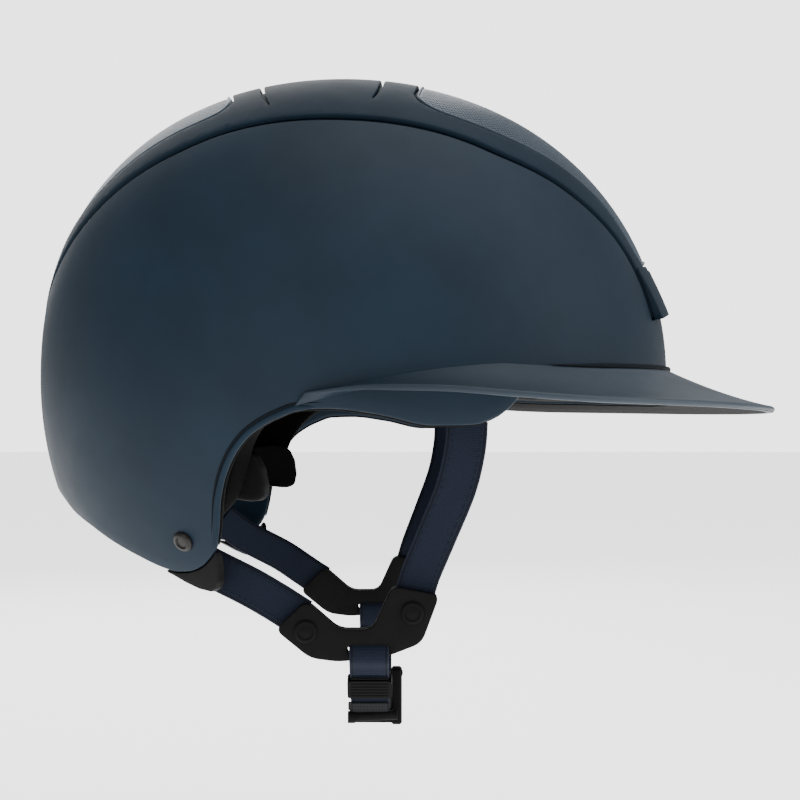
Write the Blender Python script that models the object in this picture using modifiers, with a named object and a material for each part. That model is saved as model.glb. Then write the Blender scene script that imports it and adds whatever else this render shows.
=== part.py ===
"""Equestrian riding helmet: outer shell with a wide brim, crown band with two grilles, foam
liner, comfort pads, nape cradle with a tightening dial, and a chin harness with a side-release
buckle.

Metres, +Z up, +X forward, +Y to the wearer's left. The origin is on the midplane, at the centre
of the head cavity, at the height of the wearer's brow.
"""

import math

import bmesh
import bpy
from mathutils import Matrix, Vector

MM = 0.001

# Outer shell: half lengths, half width, crown height and the centre of its sections.
SHELL_FRONT = 0.1310
SHELL_REAR = 0.1307
SHELL_HALF_WIDTH = 0.107
CROWN_Z = 0.1365
DOME_X = 0.001
DOME_Z = 0.012
EGG = 0.04  # the shell is this share narrower in front than at its middle
DEPTH_FRONT, DEPTH_SIDE, DEPTH_REAR = 0.150, 0.122, 0.138  # half heights below DOME_Z

# Layers, as depths below the shell's outer surface.
SHELL_WALL = 0.0040
BAND_RECESS = 0.0026
FOAM_OUTER = 0.0052
FOAM_WALL = 0.0165
PAD_OUTER = 0.0242
GAP = 0.0003
BADGE_PROUD = 0.0030
WINDOW_BLUNT = 0.97

# Brim outline: an ellipse whose rear half is longer, so it meets the shell over the ears.
BRIM_X = 0.050
BRIM_FRONT = 0.1255
BRIM_REAR = 0.160
BRIM_HALF_WIDTH = 0.118
BRIM_LIP = 0.0036
BRIM_END = 113  # degrees round the outline from its tip
BRIM_TOP_Z = 0.0165

# Harness.
WEB_WIDTH = 0.0150
WEB_THICK = 0.0014
DIVIDER_Y = 0.0625
PLATE = 0.0022
CHIN_X = 0.0085
BUCKLE_Z = -0.1225
BUCKLE_WIDTH = 0.0190
BUCKLE_THICK = 0.0056

# Nape cradle.
NAPE_X = -0.0962
NAPE_Z = -0.0330
PINION_R = 0.0060

# Lower edge of the shell: height against the azimuth from the front, in degrees and metres.
SHELL_EDGE = [
    (0, 0.0130), (22, 0.0125), (45, 0.0120), (58.5, 0.0115), (61.3, 0.0040), (63.5, -0.0012),
    (65.5, -0.0040), (67.2, -0.0056), (69, -0.0068), (72, -0.0072), (76.3, -0.0072),
    (84.7, -0.0035), (92.2, -0.0014), (96.8, -0.0017), (100.6, -0.0045), (104.8, -0.0098),
    (107.5, -0.0158), (110, -0.0245), (111.6, -0.0325), (113.6, -0.0453), (115.2, -0.0520),
    (117.5, -0.0562), (120, -0.0592), (123.5, -0.0613), (127, -0.0617), (130, -0.0605),
    (136, -0.0562), (142, -0.0515), (148.3, -0.0460), (155, -0.0412), (161, -0.0357),
    (168, -0.0325), (180, -0.0315),
]
FOAM_EDGE = [
    (0, 0.0210), (45, 0.0200), (59, 0.0190), (64, 0.0110), (76, 0.0080), (90, 0.0045),
    (97, 0.0035), (103, -0.0040), (108, -0.0160), (112, -0.0330), (116, -0.0430),
    (134, -0.0430), (141, -0.0330), (148, -0.0130), (180, -0.0100),
]

# Lower edge of the rear anchor, in the same way.
ANCHOR_LOW = [(115.7, -0.0545), (116.5, -0.0600), (118, -0.0655), (121, -0.0690),
              (125, -0.0672), (129.6, -0.0622)]

BAND_FIRST = 13.0  # where the band starts, in degrees up the midline from the front
BAND_BOW = 1.2  # how much lower its front corners are, in degrees

# Crown band and its windows: half widths against the angle along the midline from the front.
BAND_HALF = [
    (8, 20.5), (25, 24.8), (43, 32.6), (60, 38.9), (88, 41.4), (121, 36.8), (143, 29.6),
    (165, 26.2), (180, 24),
]
FRONT_WINDOW_HALF = [(26, 21), (36, 22.2), (46, 26.4), (61, 32.6), (78, 35.4)]
REAR_WINDOW_HALF = [(112, 33.6), (120, 32.2), (131, 29.2), (149, 26.0), (161, 21.5)]
SLOT_HALF, SLOT_WIDTH = 34.0, 0.75  # the two slots across the band

scene = bpy.context.scene
for old in list(bpy.data.objects):
    bpy.data.objects.remove(old, do_unlink=True)

PARTS = bpy.data.collections.new("riding_helmet")
CUTTERS = bpy.data.collections.new("cutters")
scene.collection.children.link(PARTS)
scene.collection.children.link(CUTTERS)


# ---------------------------------------------------------------- helpers

def material(name, color, roughness, metallic=0.0):
    """A plain Principled material, made once for each name."""
    found = bpy.data.materials.get(name)
    if found:
        return found
    made = bpy.data.materials.new(name)
    made.use_nodes = True
    shader = made.node_tree.nodes["Principled BSDF"]
    shader.inputs["Base Color"].default_value = (*color, 1)
    shader.inputs["Roughness"].default_value = roughness
    shader.inputs["Metallic"].default_value = metallic
    return made


NAVY = (0.020, 0.037, 0.058)
BAND_NAVY = (0.030, 0.048, 0.070)
BLACK = (0.014, 0.014, 0.014)
GREY = (0.060, 0.058, 0.058)
FOAM = (0.030, 0.030, 0.032)
CLOTH = (0.012, 0.012, 0.013)
WEBBING = (0.014, 0.020, 0.050)
STEEL = (0.30, 0.29, 0.28)


def add_object(name, bm, look, collection=None):
    """Make an object from a bmesh, with its own material, and free the bmesh."""
    mesh = bpy.data.meshes.new(name)
    bm.to_mesh(mesh)
    bm.free()
    mesh.shade_smooth()
    mesh.set_sharp_from_angle(angle=math.radians(35))
    obj = bpy.data.objects.new(name, mesh)
    (collection or PARTS).objects.link(obj)
    if look:
        mesh.materials.append(material(name, *look))
    else:
        obj.hide_render = True
        obj.display_type = "WIRE"
    return obj


def smooth_between(points, at):
    """Monotone cubic through (place, value) points, flat beyond both ends."""
    if at <= points[0][0]:
        return points[0][1]
    if at >= points[-1][0]:
        return points[-1][1]
    slopes = [(b[1] - a[1]) / (b[0] - a[0]) for a, b in zip(points, points[1:])]

    def tangent(i):
        if i in (0, len(points) - 1):
            return slopes[0] if i == 0 else slopes[-1]
        left, right = slopes[i - 1], slopes[i]
        return 0 if left * right <= 0 else 2 * left * right / (left + right)

    for i, (a, b) in enumerate(zip(points, points[1:])):
        if at <= b[0]:
            span = b[0] - a[0]
            t = (at - a[0]) / span
            rise, fall = t * t * (3 - 2 * t), 1 - t * t * (3 - 2 * t)
            return (fall * a[1] + rise * b[1] + span * t * (1 - t) ** 2 * tangent(i)
                    - span * t * t * (1 - t) * tangent(i + 1))


def power(value, exponent):
    return math.copysign(abs(value) ** exponent, value)


def dome_power(azimuth):
    """Exponent of the vertical profile: an ellipse in front, a little squarer behind."""
    return 2.16 - 0.08 * math.cos(azimuth)


def drop(azimuth):
    """Half height of the shell's surface below DOME_Z."""
    c, s = math.cos(azimuth), math.sin(azimuth)
    return (DEPTH_FRONT * max(c, 0) ** 2 + DEPTH_SIDE * s * s + DEPTH_REAR * min(c, 0) ** 2)


def dome(azimuth, rise, out=0.0):
    """Point of the shell's surface, moved outward. Both angles are in radians."""
    c, s = math.cos(azimuth), math.sin(azimuth)
    length = (SHELL_FRONT if c >= 0 else SHELL_REAR) + out
    width = (SHELL_HALF_WIDTH + out) * (1 - EGG * c)
    if rise >= 0:
        n, height = dome_power(azimuth), CROWN_Z - DOME_Z + out
    else:
        n, height = 2.0, drop(azimuth) + out
    r, h = power(math.cos(rise), 2 / n), power(math.sin(rise), 2 / n)
    return Vector((DOME_X + length * c * r, width * s * r, DOME_Z + height * h))


def rise_of(azimuth, z, out=0.0):
    """The rise at which the surface passes height z."""
    up = z - DOME_Z
    if up >= 0:
        n, height = dome_power(azimuth), CROWN_Z - DOME_Z + out
    else:
        n, height = 2.0, drop(azimuth) + out
    return math.asin(max(-1, min(1, power(up / height, n / 2))))


def crown(along, across, out=0.0):
    """Point of the dome by degrees along the midline from the front, and degrees across."""
    phi, psi = math.radians(along), math.radians(across)
    x, y, z = (math.cos(phi) * math.cos(psi), math.sin(psi), math.sin(phi) * math.cos(psi))
    azimuth = math.atan2(y, x)
    flat = math.hypot(x, y)
    return dome(azimuth, math.atan2(power(z, dome_power(azimuth) / 2),
                                    flat ** (dome_power(azimuth) / 2)), out)


def mapped_grid(across, along, place):
    """An open grid whose points are placed by place(u, v), with u and v from 0 to 1."""
    bm = bmesh.new()
    bmesh.ops.create_grid(bm, x_segments=across, y_segments=along, size=0.5)
    for vert in bm.verts:
        vert.co = place(vert.co.x + 0.5, vert.co.y + 0.5)
    bmesh.ops.remove_doubles(bm, verts=bm.verts, dist=1e-6)
    return bm


def face_away(bm, centre):
    """Turn all faces so that they look away from centre."""
    bm.normal_update()
    looks = sum(face.calc_area() * face.normal.dot(face.calc_center_median() - centre)
                for face in bm.faces)
    if looks < 0:
        bmesh.ops.reverse_faces(bm, faces=bm.faces)


def slab(across, along, place):
    """A closed solid between the surfaces place(u, v, 0), outside, and place(u, v, 1)."""
    bm = bmesh.new()
    at_u = bm.verts.layers.float.new("u")
    at_v = bm.verts.layers.float.new("v")
    bmesh.ops.create_grid(bm, x_segments=across, y_segments=along, size=0.5)
    for vert in bm.verts:
        vert[at_u], vert[at_v] = vert.co.x + 0.5, vert.co.y + 0.5
        vert.co = place(vert[at_u], vert[at_v], 0)
    bmesh.ops.remove_doubles(bm, verts=bm.verts, dist=1e-6)
    made = bmesh.ops.extrude_face_region(bm, geom=bm.faces[:])
    for vert in (item for item in made["geom"] if isinstance(item, bmesh.types.BMVert)):
        vert.co = place(vert[at_u], vert[at_v], 1)
    bmesh.ops.recalc_face_normals(bm, faces=bm.faces)
    return bm


def thicken(obj, thickness, offset=-1.0):
    wall = obj.modifiers.new("wall", "SOLIDIFY")
    wall.thickness = thickness
    wall.offset = offset
    wall.use_even_offset = True
    wall.use_quality_normals = True
    return wall


def bevel(obj, width, segments=1, angle=40):
    edge = obj.modifiers.new("edges", "BEVEL")
    edge.width = width
    edge.segments = segments
    edge.limit_method = "ANGLE"
    edge.angle_limit = math.radians(angle)
    edge.use_clamp_overlap = True
    return edge


def cut(obj, cutter, operation="DIFFERENCE"):
    boolean = obj.modifiers.new(cutter.name, "BOOLEAN")
    boolean.operation = operation
    boolean.object = cutter
    boolean.solver = "EXACT"
    return boolean


def plate(name, outline, thickness, look, matrix=None, collection=None):
    """A flat outline in XY, extruded by thickness about z = 0, then placed by matrix."""
    bm = bmesh.new()
    verts = [bm.verts.new((x, y, -thickness / 2)) for x, y in outline]
    face = bm.faces.new(verts)
    extruded = bmesh.ops.extrude_face_region(bm, geom=[face])
    tops = [item for item in extruded["geom"] if isinstance(item, bmesh.types.BMVert)]
    bmesh.ops.translate(bm, verts=tops, vec=(0, 0, thickness))
    bmesh.ops.recalc_face_normals(bm, faces=bm.faces)
    if matrix:
        bmesh.ops.transform(bm, matrix=matrix, verts=bm.verts)
        bmesh.ops.recalc_face_normals(bm, faces=bm.faces)
    return add_object(name, bm, look, collection)


def rounded(corners, radius, steps=3):
    """Outline through corners, each turned into an arc-like curve of about this radius."""
    made = []
    count = len(corners)
    for i, corner in enumerate(corners):
        here = Vector(corner)
        before = Vector(corners[i - 1]) - here
        after = Vector(corners[(i + 1) % count]) - here
        back = min(radius, before.length / 2.05)
        ahead = min(radius, after.length / 2.05)
        first, last = here + before.normalized() * back, here + after.normalized() * ahead
        for step in range(steps + 1):
            t = step / steps
            made.append(tuple(first * (1 - t) ** 2 + here * 2 * t * (1 - t) + last * t * t))
    return made


def box(name, low, high, look, collection=None, bevel_width=0.0):
    bm = bmesh.new()
    bmesh.ops.create_cube(bm, size=1)
    size = [b - a for a, b in zip(low, high)]
    middle = [(a + b) / 2 for a, b in zip(low, high)]
    bmesh.ops.scale(bm, vec=size, verts=bm.verts)
    bmesh.ops.translate(bm, vec=middle, verts=bm.verts)
    obj = add_object(name, bm, look, collection)
    if bevel_width:
        bevel(obj, bevel_width)
    return obj


def cylinder(name, centre, axis, radius, length, look, sides=16, collection=None, top=None):
    bm = bmesh.new()
    bmesh.ops.create_cone(bm, cap_ends=True, segments=sides, radius1=radius,
                          radius2=radius if top is None else top, depth=length)
    turn = Vector((0, 0, 1)).rotation_difference(Vector(axis)).to_matrix().to_4x4()
    bmesh.ops.transform(bm, matrix=Matrix.Translation(centre) @ turn, verts=bm.verts)
    return add_object(name, bm, look, collection)


def spline_point(points, at):
    """Catmull-Rom curve through points, with at from 0 to 1."""
    spans = len(points) - 1
    place = min(at, 0.999999) * spans
    i, t = int(place), place - int(place)
    p = [Vector(points[max(0, min(spans, j))]) for j in (i - 1, i, i + 1, i + 2)]
    return 0.5 * (2 * p[1] + (p[2] - p[0]) * t + (2 * p[0] - 5 * p[1] + 4 * p[2] - p[3]) * t * t
                  + (3 * p[1] - p[0] - 3 * p[2] + p[3]) * t ** 3)


def web(name, path, width_along, look, segments=12, width=WEB_WIDTH, thick=WEB_THICK):
    """A flat strap along a path. width_along(t) gives the direction of its width."""
    def place(u, v):
        return spline_point(path, v) + width_along(v).normalized() * (u - 0.5) * width
    obj = add_object(name, mapped_grid(1, segments, place), look)
    thicken(obj, thick, 0.0)
    return obj


def mirrored(point, side):
    return Vector((point[0], side * point[1], point[2]))


def surface_patch(name, low, high, edge_low, edge_high, out, thickness, look, across, along,
                  collection=None):
    """A solid patch of the dome between two azimuths (degrees) and two edges (heights)."""
    def place(u, v, depth):
        level = out - thickness * depth
        azimuth = math.radians(low + (high - low) * u)
        bottom = rise_of(azimuth, edge_low(math.degrees(azimuth)), out)
        top = rise_of(azimuth, edge_high(math.degrees(azimuth)), out)
        return dome(azimuth, bottom + (top - bottom) * v, level)
    return add_object(name, slab(across, along, place), look, collection)


def crown_patch(name, first, last, half, out, thickness, look, across, along, collection=None,
                roundness=6.0, shrink=0.0, round_first=True, blunt=1.0, bow=0.0):
    """A solid patch of the crown between two angles along the midline. A blunt under 1
    leaves its ends straight across, with the corners taken off, and bow lowers the
    corners of its first end."""
    def place(u, v, depth):
        # Stations crowd towards both ends, where the outline turns.
        t = 0.5 - 0.5 * math.cos(math.pi * v)
        end = abs(2 * t - 1) if round_first or t > 0.5 else 0
        at = first + (last - first) * t - bow * (2 * u - 1) ** 2 * (1 - t) ** 3
        reach = (1 - min(end * blunt, 1) ** roundness) ** (1 / roundness)
        return crown(at, (half(at) - shrink) * reach * (2 * u - 1), out - thickness * depth)
    return add_object(name, slab(across, along, place), look, collection)


def half_of(points):
    return lambda along: smooth_between(points, along)


# ---------------------------------------------------------------- shell and crown

def half_dome(edge_points, columns, rows, out):
    """Half of the dome down to its lower edge, open at the midplane. Columns are spaced
    evenly along the edge, so that its steep stretches stay smooth."""
    steps = 720
    places = [180 * i / steps for i in range(steps + 1)]
    edge = []
    for place in places:
        azimuth = math.radians(place)
        edge.append(dome(azimuth, rise_of(azimuth, smooth_between(edge_points, place))))
    lengths = [0.0]
    for a, b in zip(edge, edge[1:]):
        lengths.append(lengths[-1] + (b - a).length)

    def azimuth_at(share):
        want = share * lengths[-1]
        for i in range(steps):
            if lengths[i + 1] >= want:
                part = (want - lengths[i]) / (lengths[i + 1] - lengths[i])
                return places[i] + part * (places[i + 1] - places[i])
        return places[-1]

    def place(u, v):
        low = azimuth_at(round(u, 6))
        even = 180 * u
        # Columns leave the edge at its own spacing and reach the pole evenly spaced.
        blend = min(1, v * 1.3)
        azimuth = math.radians(low + (even - low) * blend * blend * (3 - 2 * blend))
        bottom = rise_of(azimuth, smooth_between(edge_points, math.degrees(azimuth)), out)
        if v == 0:
            azimuth = math.radians(low)
            bottom = rise_of(azimuth, smooth_between(edge_points, low), out)
        rise = bottom + (math.pi / 2 - bottom) * v
        point = dome(azimuth, rise, out)
        if u in (0.0, 1.0):
            point.y = 0
        return point
    bm = mapped_grid(columns, rows, place)
    face_away(bm, Vector((0, 0, 0)))
    return bm


def mirror_half(obj):
    both = obj.modifiers.new("both", "MIRROR")
    both.use_axis = (False, True, False)
    both.use_clip = True
    both.merge_threshold = 1e-5


def build_shell():
    shell = add_object("outer_shell", half_dome(SHELL_EDGE, 40, 11, 0.0), (NAVY, 0.42))
    mirror_half(shell)
    thicken(shell, SHELL_WALL)
    floor = 0.012
    recess = crown_patch("band_recess", BAND_FIRST - 0.7, 181.2, half_of(BAND_HALF),
                         floor, floor + BAND_RECESS, None, 10, 30, CUTTERS, roundness=5.0,
                         shrink=-0.8, round_first=False, bow=BAND_BOW)
    cut(shell, recess)
    return shell


def cross_slot(name, at, bend):
    """A narrow cutter across the crown, whose ends turn by bend degrees along the midline."""
    def place(u, v, depth):
        across = SLOT_HALF * (2 * u - 1)
        turned = bend * max(0.0, (abs(across) - 0.75 * SLOT_HALF) / (0.25 * SLOT_HALF)) ** 2
        return crown(at + turned + SLOT_WIDTH * (v - 0.5), across, 0.006 - 0.012 * depth)
    return add_object(name, slab(20, 1, place), None, CUTTERS)


def build_band():
    proud = 0.0003
    thick = 0.0019
    band = crown_patch("crown_band", BAND_FIRST, 180.0, half_of(BAND_HALF), proud, thick,
                       (BAND_NAVY, 0.5), 10, 24, roundness=5.0, shrink=0.35,
                       round_first=False, bow=BAND_BOW)
    windows = (
        ("front_window", 26.0, 78.0, FRONT_WINDOW_HALF, 7.0),
        ("rear_window", 112.0, 161.0, REAR_WINDOW_HALF, 6.0),
    )
    for name, first, last, half, roundness in windows:
        window = crown_patch(name, first, last, half_of(half), 0.006, 0.012, None, 8, 12,
                             CUTTERS, roundness=roundness, blunt=WINDOW_BLUNT)
        cut(band, window)
    for name, at, bend in (("front_slot", 84.5, 1.8), ("rear_slot", 106.5, -1.8)):
        cut(band, cross_slot(name, at, bend))
    for name, first, last, half, roundness in (
            ("front_grille", 26.0, 78.0, FRONT_WINDOW_HALF, 7.0),
            ("rear_grille", 112.0, 161.0, REAR_WINDOW_HALF, 6.0)):
        crown_patch(name, first + 0.6, last - 0.6, half_of(half), -0.0004, 0.0009,
                    (STEEL, 0.4, 0.8), 8, 12, roundness=roundness, shrink=0.5,
                    blunt=WINDOW_BLUNT)


def build_badge():
    """The wedge-shaped vent cover at the band's front end, proud at its lower edge."""
    top, bottom = 20.9, BAND_FIRST + 0.1

    def place(u, v, depth):
        w = 2 * u - 1
        low, high = bottom - BAND_BOW * w * w, top + 1.3 * w * w
        at = low + (high - low) * v
        lift = 0.0012 + BADGE_PROUD * (1 - v) ** 1.2
        half = smooth_between(BAND_HALF, at) - 0.5
        return crown(at, half * w, lift * (1 - depth) + 0.0007 * depth)
    return add_object("front_badge", slab(10, 4, place), (BAND_NAVY, 0.45))


# ---------------------------------------------------------------- brim

def brim_outline(turn, inset=0.0):
    """Point of the brim's outline at turn degrees from its tip, with its height."""
    t = math.radians(turn)
    length = BRIM_FRONT if abs(turn) <= 90 else BRIM_REAR
    x = BRIM_X + (length - inset) * math.cos(t)
    y = (BRIM_HALF_WIDTH - inset) * math.sin(t)
    height = smooth_between([(-0.020, 0.0016), (0.013, 0.0051), (0.030, 0.0049),
                             (0.062, 0.0027), (0.091, 0.0010), (0.131, 0.0000),
                             (0.176, -0.0014)], x)
    return Vector((x, y, height))


def brim_root(turn):
    """Azimuth on the shell from which the brim's section at this turn starts."""
    edge = brim_outline(turn)
    azimuth = math.atan2(edge.y, edge.x - DOME_X)
    return azimuth * (1 - 0.02 * math.sin(2 * abs(azimuth)))


def brim_point(turn, t, drop_by=0.0, inset=0.0):
    """Point of the brim's top skin: t runs from the shell (0) to the outline (1)."""
    azimuth = brim_root(turn)
    over = max(0.0, min(1.0, (abs(math.degrees(azimuth)) - 56) / 40))
    top = BRIM_TOP_Z - 0.002 * min(1.0, abs(math.degrees(azimuth)) / 50) + 0.006 * over
    fade = max(0.0, (abs(turn) - 84) / (BRIM_END - 84))
    top -= 0.015 * fade
    near_end = max(0.0, (abs(turn) - 96) / (BRIM_END - 96)) ** 2
    start = dome(azimuth, rise_of(azimuth, top - 0.0012 * near_end), 0.0004)
    edge = brim_outline(turn, inset) + Vector((0, 0, BRIM_LIP / 2))
    if abs(turn) > 96:
        # Past the ears the lip stays a little outside the shell.
        away = dome(azimuth, rise_of(azimuth, edge.z), 0.0022 - 0.0012 * near_end)
        if away.xy.length > edge.xy.length:
            edge.x, edge.y = away.x, away.y
    run = edge - start
    hollow = 0.03 + 0.07 * min(1.0, abs(turn) / 60)
    sag = Vector((0, 0, -hollow * (run.xy.length + max(0.0, start.z - edge.z))))
    middle = (start + edge) / 2 + sag
    point = start * (1 - t) ** 2 + middle * 2 * t * (1 - t) + edge * t * t
    return point - Vector((0, 0, drop_by))


def build_brim():
    sections = 30

    def ring(turn):
        """Closed section of the brim, from the shell out over the top and back below."""
        top = [brim_point(turn, t) for t in (0.0, 0.3, 0.65, 0.95)]
        lip = brim_outline(turn)
        foot = brim_point(turn, 0.95, BRIM_LIP, 0.0005)
        azimuth = brim_root(turn)
        under = brim_point(turn, 0.0)
        low_z = min(under.z - 0.003, lip.z + 0.0030)
        inner_low = dome(azimuth, rise_of(azimuth, low_z), 0.0004)
        mid_low = foot.lerp(inner_low, 0.5)
        edge = lip if abs(turn) <= 100 else brim_point(turn, 1.0, BRIM_LIP / 2)
        return top + [edge, foot, mid_low, inner_low]

    bm = bmesh.new()
    rings = []
    for i in range(sections + 1):
        turn = -BRIM_END + 2 * BRIM_END * i / sections
        rings.append([bm.verts.new(p) for p in ring(turn)])
    for a, b in zip(rings, rings[1:]):
        for j in range(len(a)):
            k = (j + 1) % len(a)
            bm.faces.new((a[j], a[k], b[k], b[j]))
    bm.faces.new(rings[0])
    bm.faces.new(list(reversed(rings[-1])))
    bmesh.ops.recalc_face_normals(bm, faces=bm.faces)
    return add_object("brim", bm, (NAVY, 0.42))


def build_brim_underside():
    """The thin dark panel below the brim, inside its lip."""
    reach = 84

    def place(u, v, depth):
        turn = -reach + 2 * reach * u
        lip = brim_outline(turn, 0.0030)
        azimuth = brim_root(turn)
        inner = dome(azimuth, rise_of(azimuth, lip.z + 0.0026), 0.0012)
        outer = inner.lerp(Vector((lip.x, lip.y, lip.z - BRIM_LIP / 2)), 0.94)
        return inner.lerp(outer, v) - Vector((0, 0, 0.0006 + 0.0006 * v + 0.0012 * (1 - depth)))
    return add_object("brim_underside", slab(24, 2, place), (GREY, 0.7))


# ---------------------------------------------------------------- ear trim and anchors

def build_ear_trim(side, label):
    """The bead along the shell's edge round the ear, from the brim's end to the rear corner."""
    path = []
    first, last, count = 95.0, 114.5, 24
    for i in range(count + 1):
        place = first + (last - first) * i / count
        azimuth = math.radians(place)
        z = smooth_between(SHELL_EDGE, place)
        point = dome(azimuth, rise_of(azimuth, z), -SHELL_WALL / 2)
        path.append(point)
    bead = 0.0011
    pushed = []
    for i, point in enumerate(path):
        ahead = path[min(i + 1, count)] - path[max(i - 1, 0)]
        out = Vector((point.x / SHELL_FRONT ** 2, point.y / SHELL_HALF_WIDTH ** 2,
                      (point.z - DOME_Z) / DEPTH_SIDE ** 2)).normalized()
        down = ahead.cross(out).normalized()
        if down.z > 0 and abs(down.z) > 0.3 or (abs(down.z) <= 0.3 and down.x < 0):
            down = -down
        pushed.append(point + down * (bead + 2 * GAP))
    curve = bpy.data.curves.new("ear_trim_" + label, "CURVE")
    curve.dimensions = "3D"
    curve.bevel_depth = bead
    curve.bevel_resolution = 1
    curve.use_fill_caps = True
    line = curve.splines.new("POLY")
    line.points.add(len(pushed) - 1)
    for point, place in zip(line.points, pushed):
        point.co = (*mirrored(place, side), 1)
    obj = bpy.data.objects.new("ear_trim_" + label, curve)
    curve.materials.append(material("ear_trim_" + label, NAVY, 0.5))
    PARTS.objects.link(obj)


def build_rear_anchor(side, label):
    """The black corner piece that holds the rear strap, under the shell's rear corner."""
    def low(place):
        # The lower edge hangs below the shell's corner in one rounded lobe.
        return smooth_between(ANCHOR_LOW, place)

    def high(place):
        return smooth_between(SHELL_EDGE, place) - 0.0006
    first, last = side * ANCHOR_LOW[0][0], side * ANCHOR_LOW[-1][0]
    surface_patch("rear_anchor_" + label, first, last, lambda p: low(abs(p)),
                  lambda p: high(abs(p)), -0.0004, 0.0030, (BLACK, 0.5), 10, 2)
    spot = 121.6
    azimuth = math.radians(side * spot)
    centre = dome(azimuth, rise_of(azimuth, -0.0493), 0.0012)
    inner = dome(azimuth, rise_of(azimuth, -0.0493), -0.01)
    cylinder("rear_rivet_" + label, centre, (centre - inner).normalized(), 0.0038, 0.0012,
             (BLACK, 0.4), 14, top=0.0030)


def build_front_anchor(side, label):
    """The loop inside the temple lobe from which the front strap hangs."""
    outline = rounded([(-0.0090, -0.0050), (0.0060, -0.0050), (0.0060, 0.0060),
                       (-0.0090, 0.0060)], 0.002, 2)
    stand = Matrix.Translation((0.0450, side * 0.0880, 0.0)) @ Matrix.Rotation(
        math.pi / 2, 4, "X")
    plate("front_anchor_" + label, outline, 0.0018, (BLACK, 0.5), stand)


# ---------------------------------------------------------------- liner and pads

def build_liner():
    foam = add_object("foam_liner", half_dome(FOAM_EDGE, 22, 7, -FOAM_OUTER), (FOAM, 0.9))
    mirror_half(foam)
    thicken(foam, FOAM_WALL)
    pad = (CLOTH, 0.95)
    surface_patch("brow_pad", -52, 52, lambda p: 0.004, lambda p: 0.040, -PAD_OUTER, 0.0085,
                  pad, 12, 3)
    for side, label in ((-1, "right"), (1, "left")):
        surface_patch("side_pad_" + label, side * 62, side * 104,
                      lambda p: 0.006, lambda p: 0.060, -PAD_OUTER, 0.0070, pad, 6, 4)
        surface_patch("rear_pad_" + label, side * 112, side * 146,
                      lambda p: -0.006, lambda p: 0.052, -PAD_OUTER, 0.0070, pad, 5, 4)
    crown_patch("crown_pad", 45, 135, lambda p: 38, -PAD_OUTER, 0.0080, pad, 8, 8,
                roundness=2.4)
    # A flat disc under the crown pad, where a stand's head meets the helmet.
    low = CROWN_Z - PAD_OUTER - 0.0080
    disc = cylinder("crown_disc", (DOME_X, 0, low - 0.0040), (0, 0, 1), 0.028, 0.0070,
                    (CLOTH, 0.9), 24)
    above = crown_patch("above_disc", 40, 140, lambda p: 42, -0.010,
                        PAD_OUTER + 0.0080 - 0.010 + 0.0014, None, 10, 12, CUTTERS,
                        roundness=4.0)
    cut(disc, above)


# ---------------------------------------------------------------- nape cradle

def build_cradle():
    body = (BLACK, 0.5)
    half_y, half_z, thick = 0.026, 0.0125, 0.0105
    low_x, high_x = NAPE_X - thick / 2, NAPE_X + thick / 2
    housing = box("cradle_housing", (low_x, -half_y, NAPE_Z - half_z),
                  (high_x, half_y, NAPE_Z + half_z), body, bevel_width=0.0015)
    # A slot right through along Y for both racks, and a bore for the pinion's shaft.
    slot = box("rack_slot", (NAPE_X - 0.0026, -0.04, NAPE_Z - 0.0096),
               (NAPE_X + 0.0026, 0.04, NAPE_Z + 0.0096), None, CUTTERS)
    bore = cylinder("pinion_bore", (low_x, 0, NAPE_Z), (1, 0, 0), 0.0033, 0.0100, None, 20,
                    CUTTERS)
    cut(housing, slot)
    cut(housing, bore)
    # The dial outside, with its shaft and pinion in one piece.
    dial_outer = low_x - 0.0005
    teeth = 20
    outline = []
    for i in range(teeth * 2):
        r = 0.0128 if i % 2 else 0.0120
        turn = math.pi * i / teeth
        outline.append((r * math.cos(turn), r * math.sin(turn)))
    across_x = Matrix.Rotation(math.pi / 2, 4, "Y")
    dial_thick = 0.0075
    plate("nape_dial", outline, dial_thick, (BLACK, 0.45),
          Matrix.Translation((dial_outer - dial_thick / 2, 0, NAPE_Z)) @ across_x)
    cylinder("dial_shaft", ((dial_outer + NAPE_X + 0.0020) / 2 + GAP / 2, 0, NAPE_Z), (1, 0, 0),
             0.0029, NAPE_X + 0.0020 - dial_outer - GAP, (STEEL, 0.35, 1.0), 16)
    pinion_teeth = 14
    outline = []
    for i in range(pinion_teeth * 2):
        r = PINION_R - (0.0005 if i % 2 else 0.0011)
        turn = math.pi * i / pinion_teeth
        outline.append((r * math.cos(turn), r * math.sin(turn)))
    pinion = plate("dial_pinion", outline, 0.0034, (STEEL, 0.4, 0.6),
                   Matrix.Translation((NAPE_X, 0, NAPE_Z)) @ across_x)
    shaft_way = cylinder("pinion_eye", (NAPE_X, 0, NAPE_Z), (1, 0, 0), 0.0029 + 0.0002, 0.02,
                         None, 16, CUTTERS)
    cut(pinion, shaft_way)
    for side, label, level in ((-1, "right", 1), (1, "left", -1)):
        build_wing(side, label, level)
    # The pad on the housing's inner face.
    box("cradle_pad", (high_x + GAP, -0.024, NAPE_Z - 0.011),
        (high_x + GAP + 0.006, 0.024, NAPE_Z + 0.011), (CLOTH, 0.95), bevel_width=0.0022)
    # The tab that slides in the hanger, which is fixed to the foam.
    box("height_tab", (low_x + 0.002, -0.0055, NAPE_Z + half_z + GAP),
        (low_x + 0.0045, 0.0055, NAPE_Z + half_z + 0.034), body, bevel_width=0.0006)
    hanger = box("height_hanger", (low_x - 0.0034, -0.0085, NAPE_Z + half_z + 0.0125),
                 (low_x + 0.0077, 0.0085, NAPE_Z + half_z + 0.026), body, bevel_width=0.0008)
    groove = box("hanger_groove", (low_x + 0.0016, -0.0059, NAPE_Z - 0.02),
                 (low_x + 0.0049, 0.0059, NAPE_Z + 0.09), None, CUTTERS)
    cut(hanger, groove)


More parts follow.
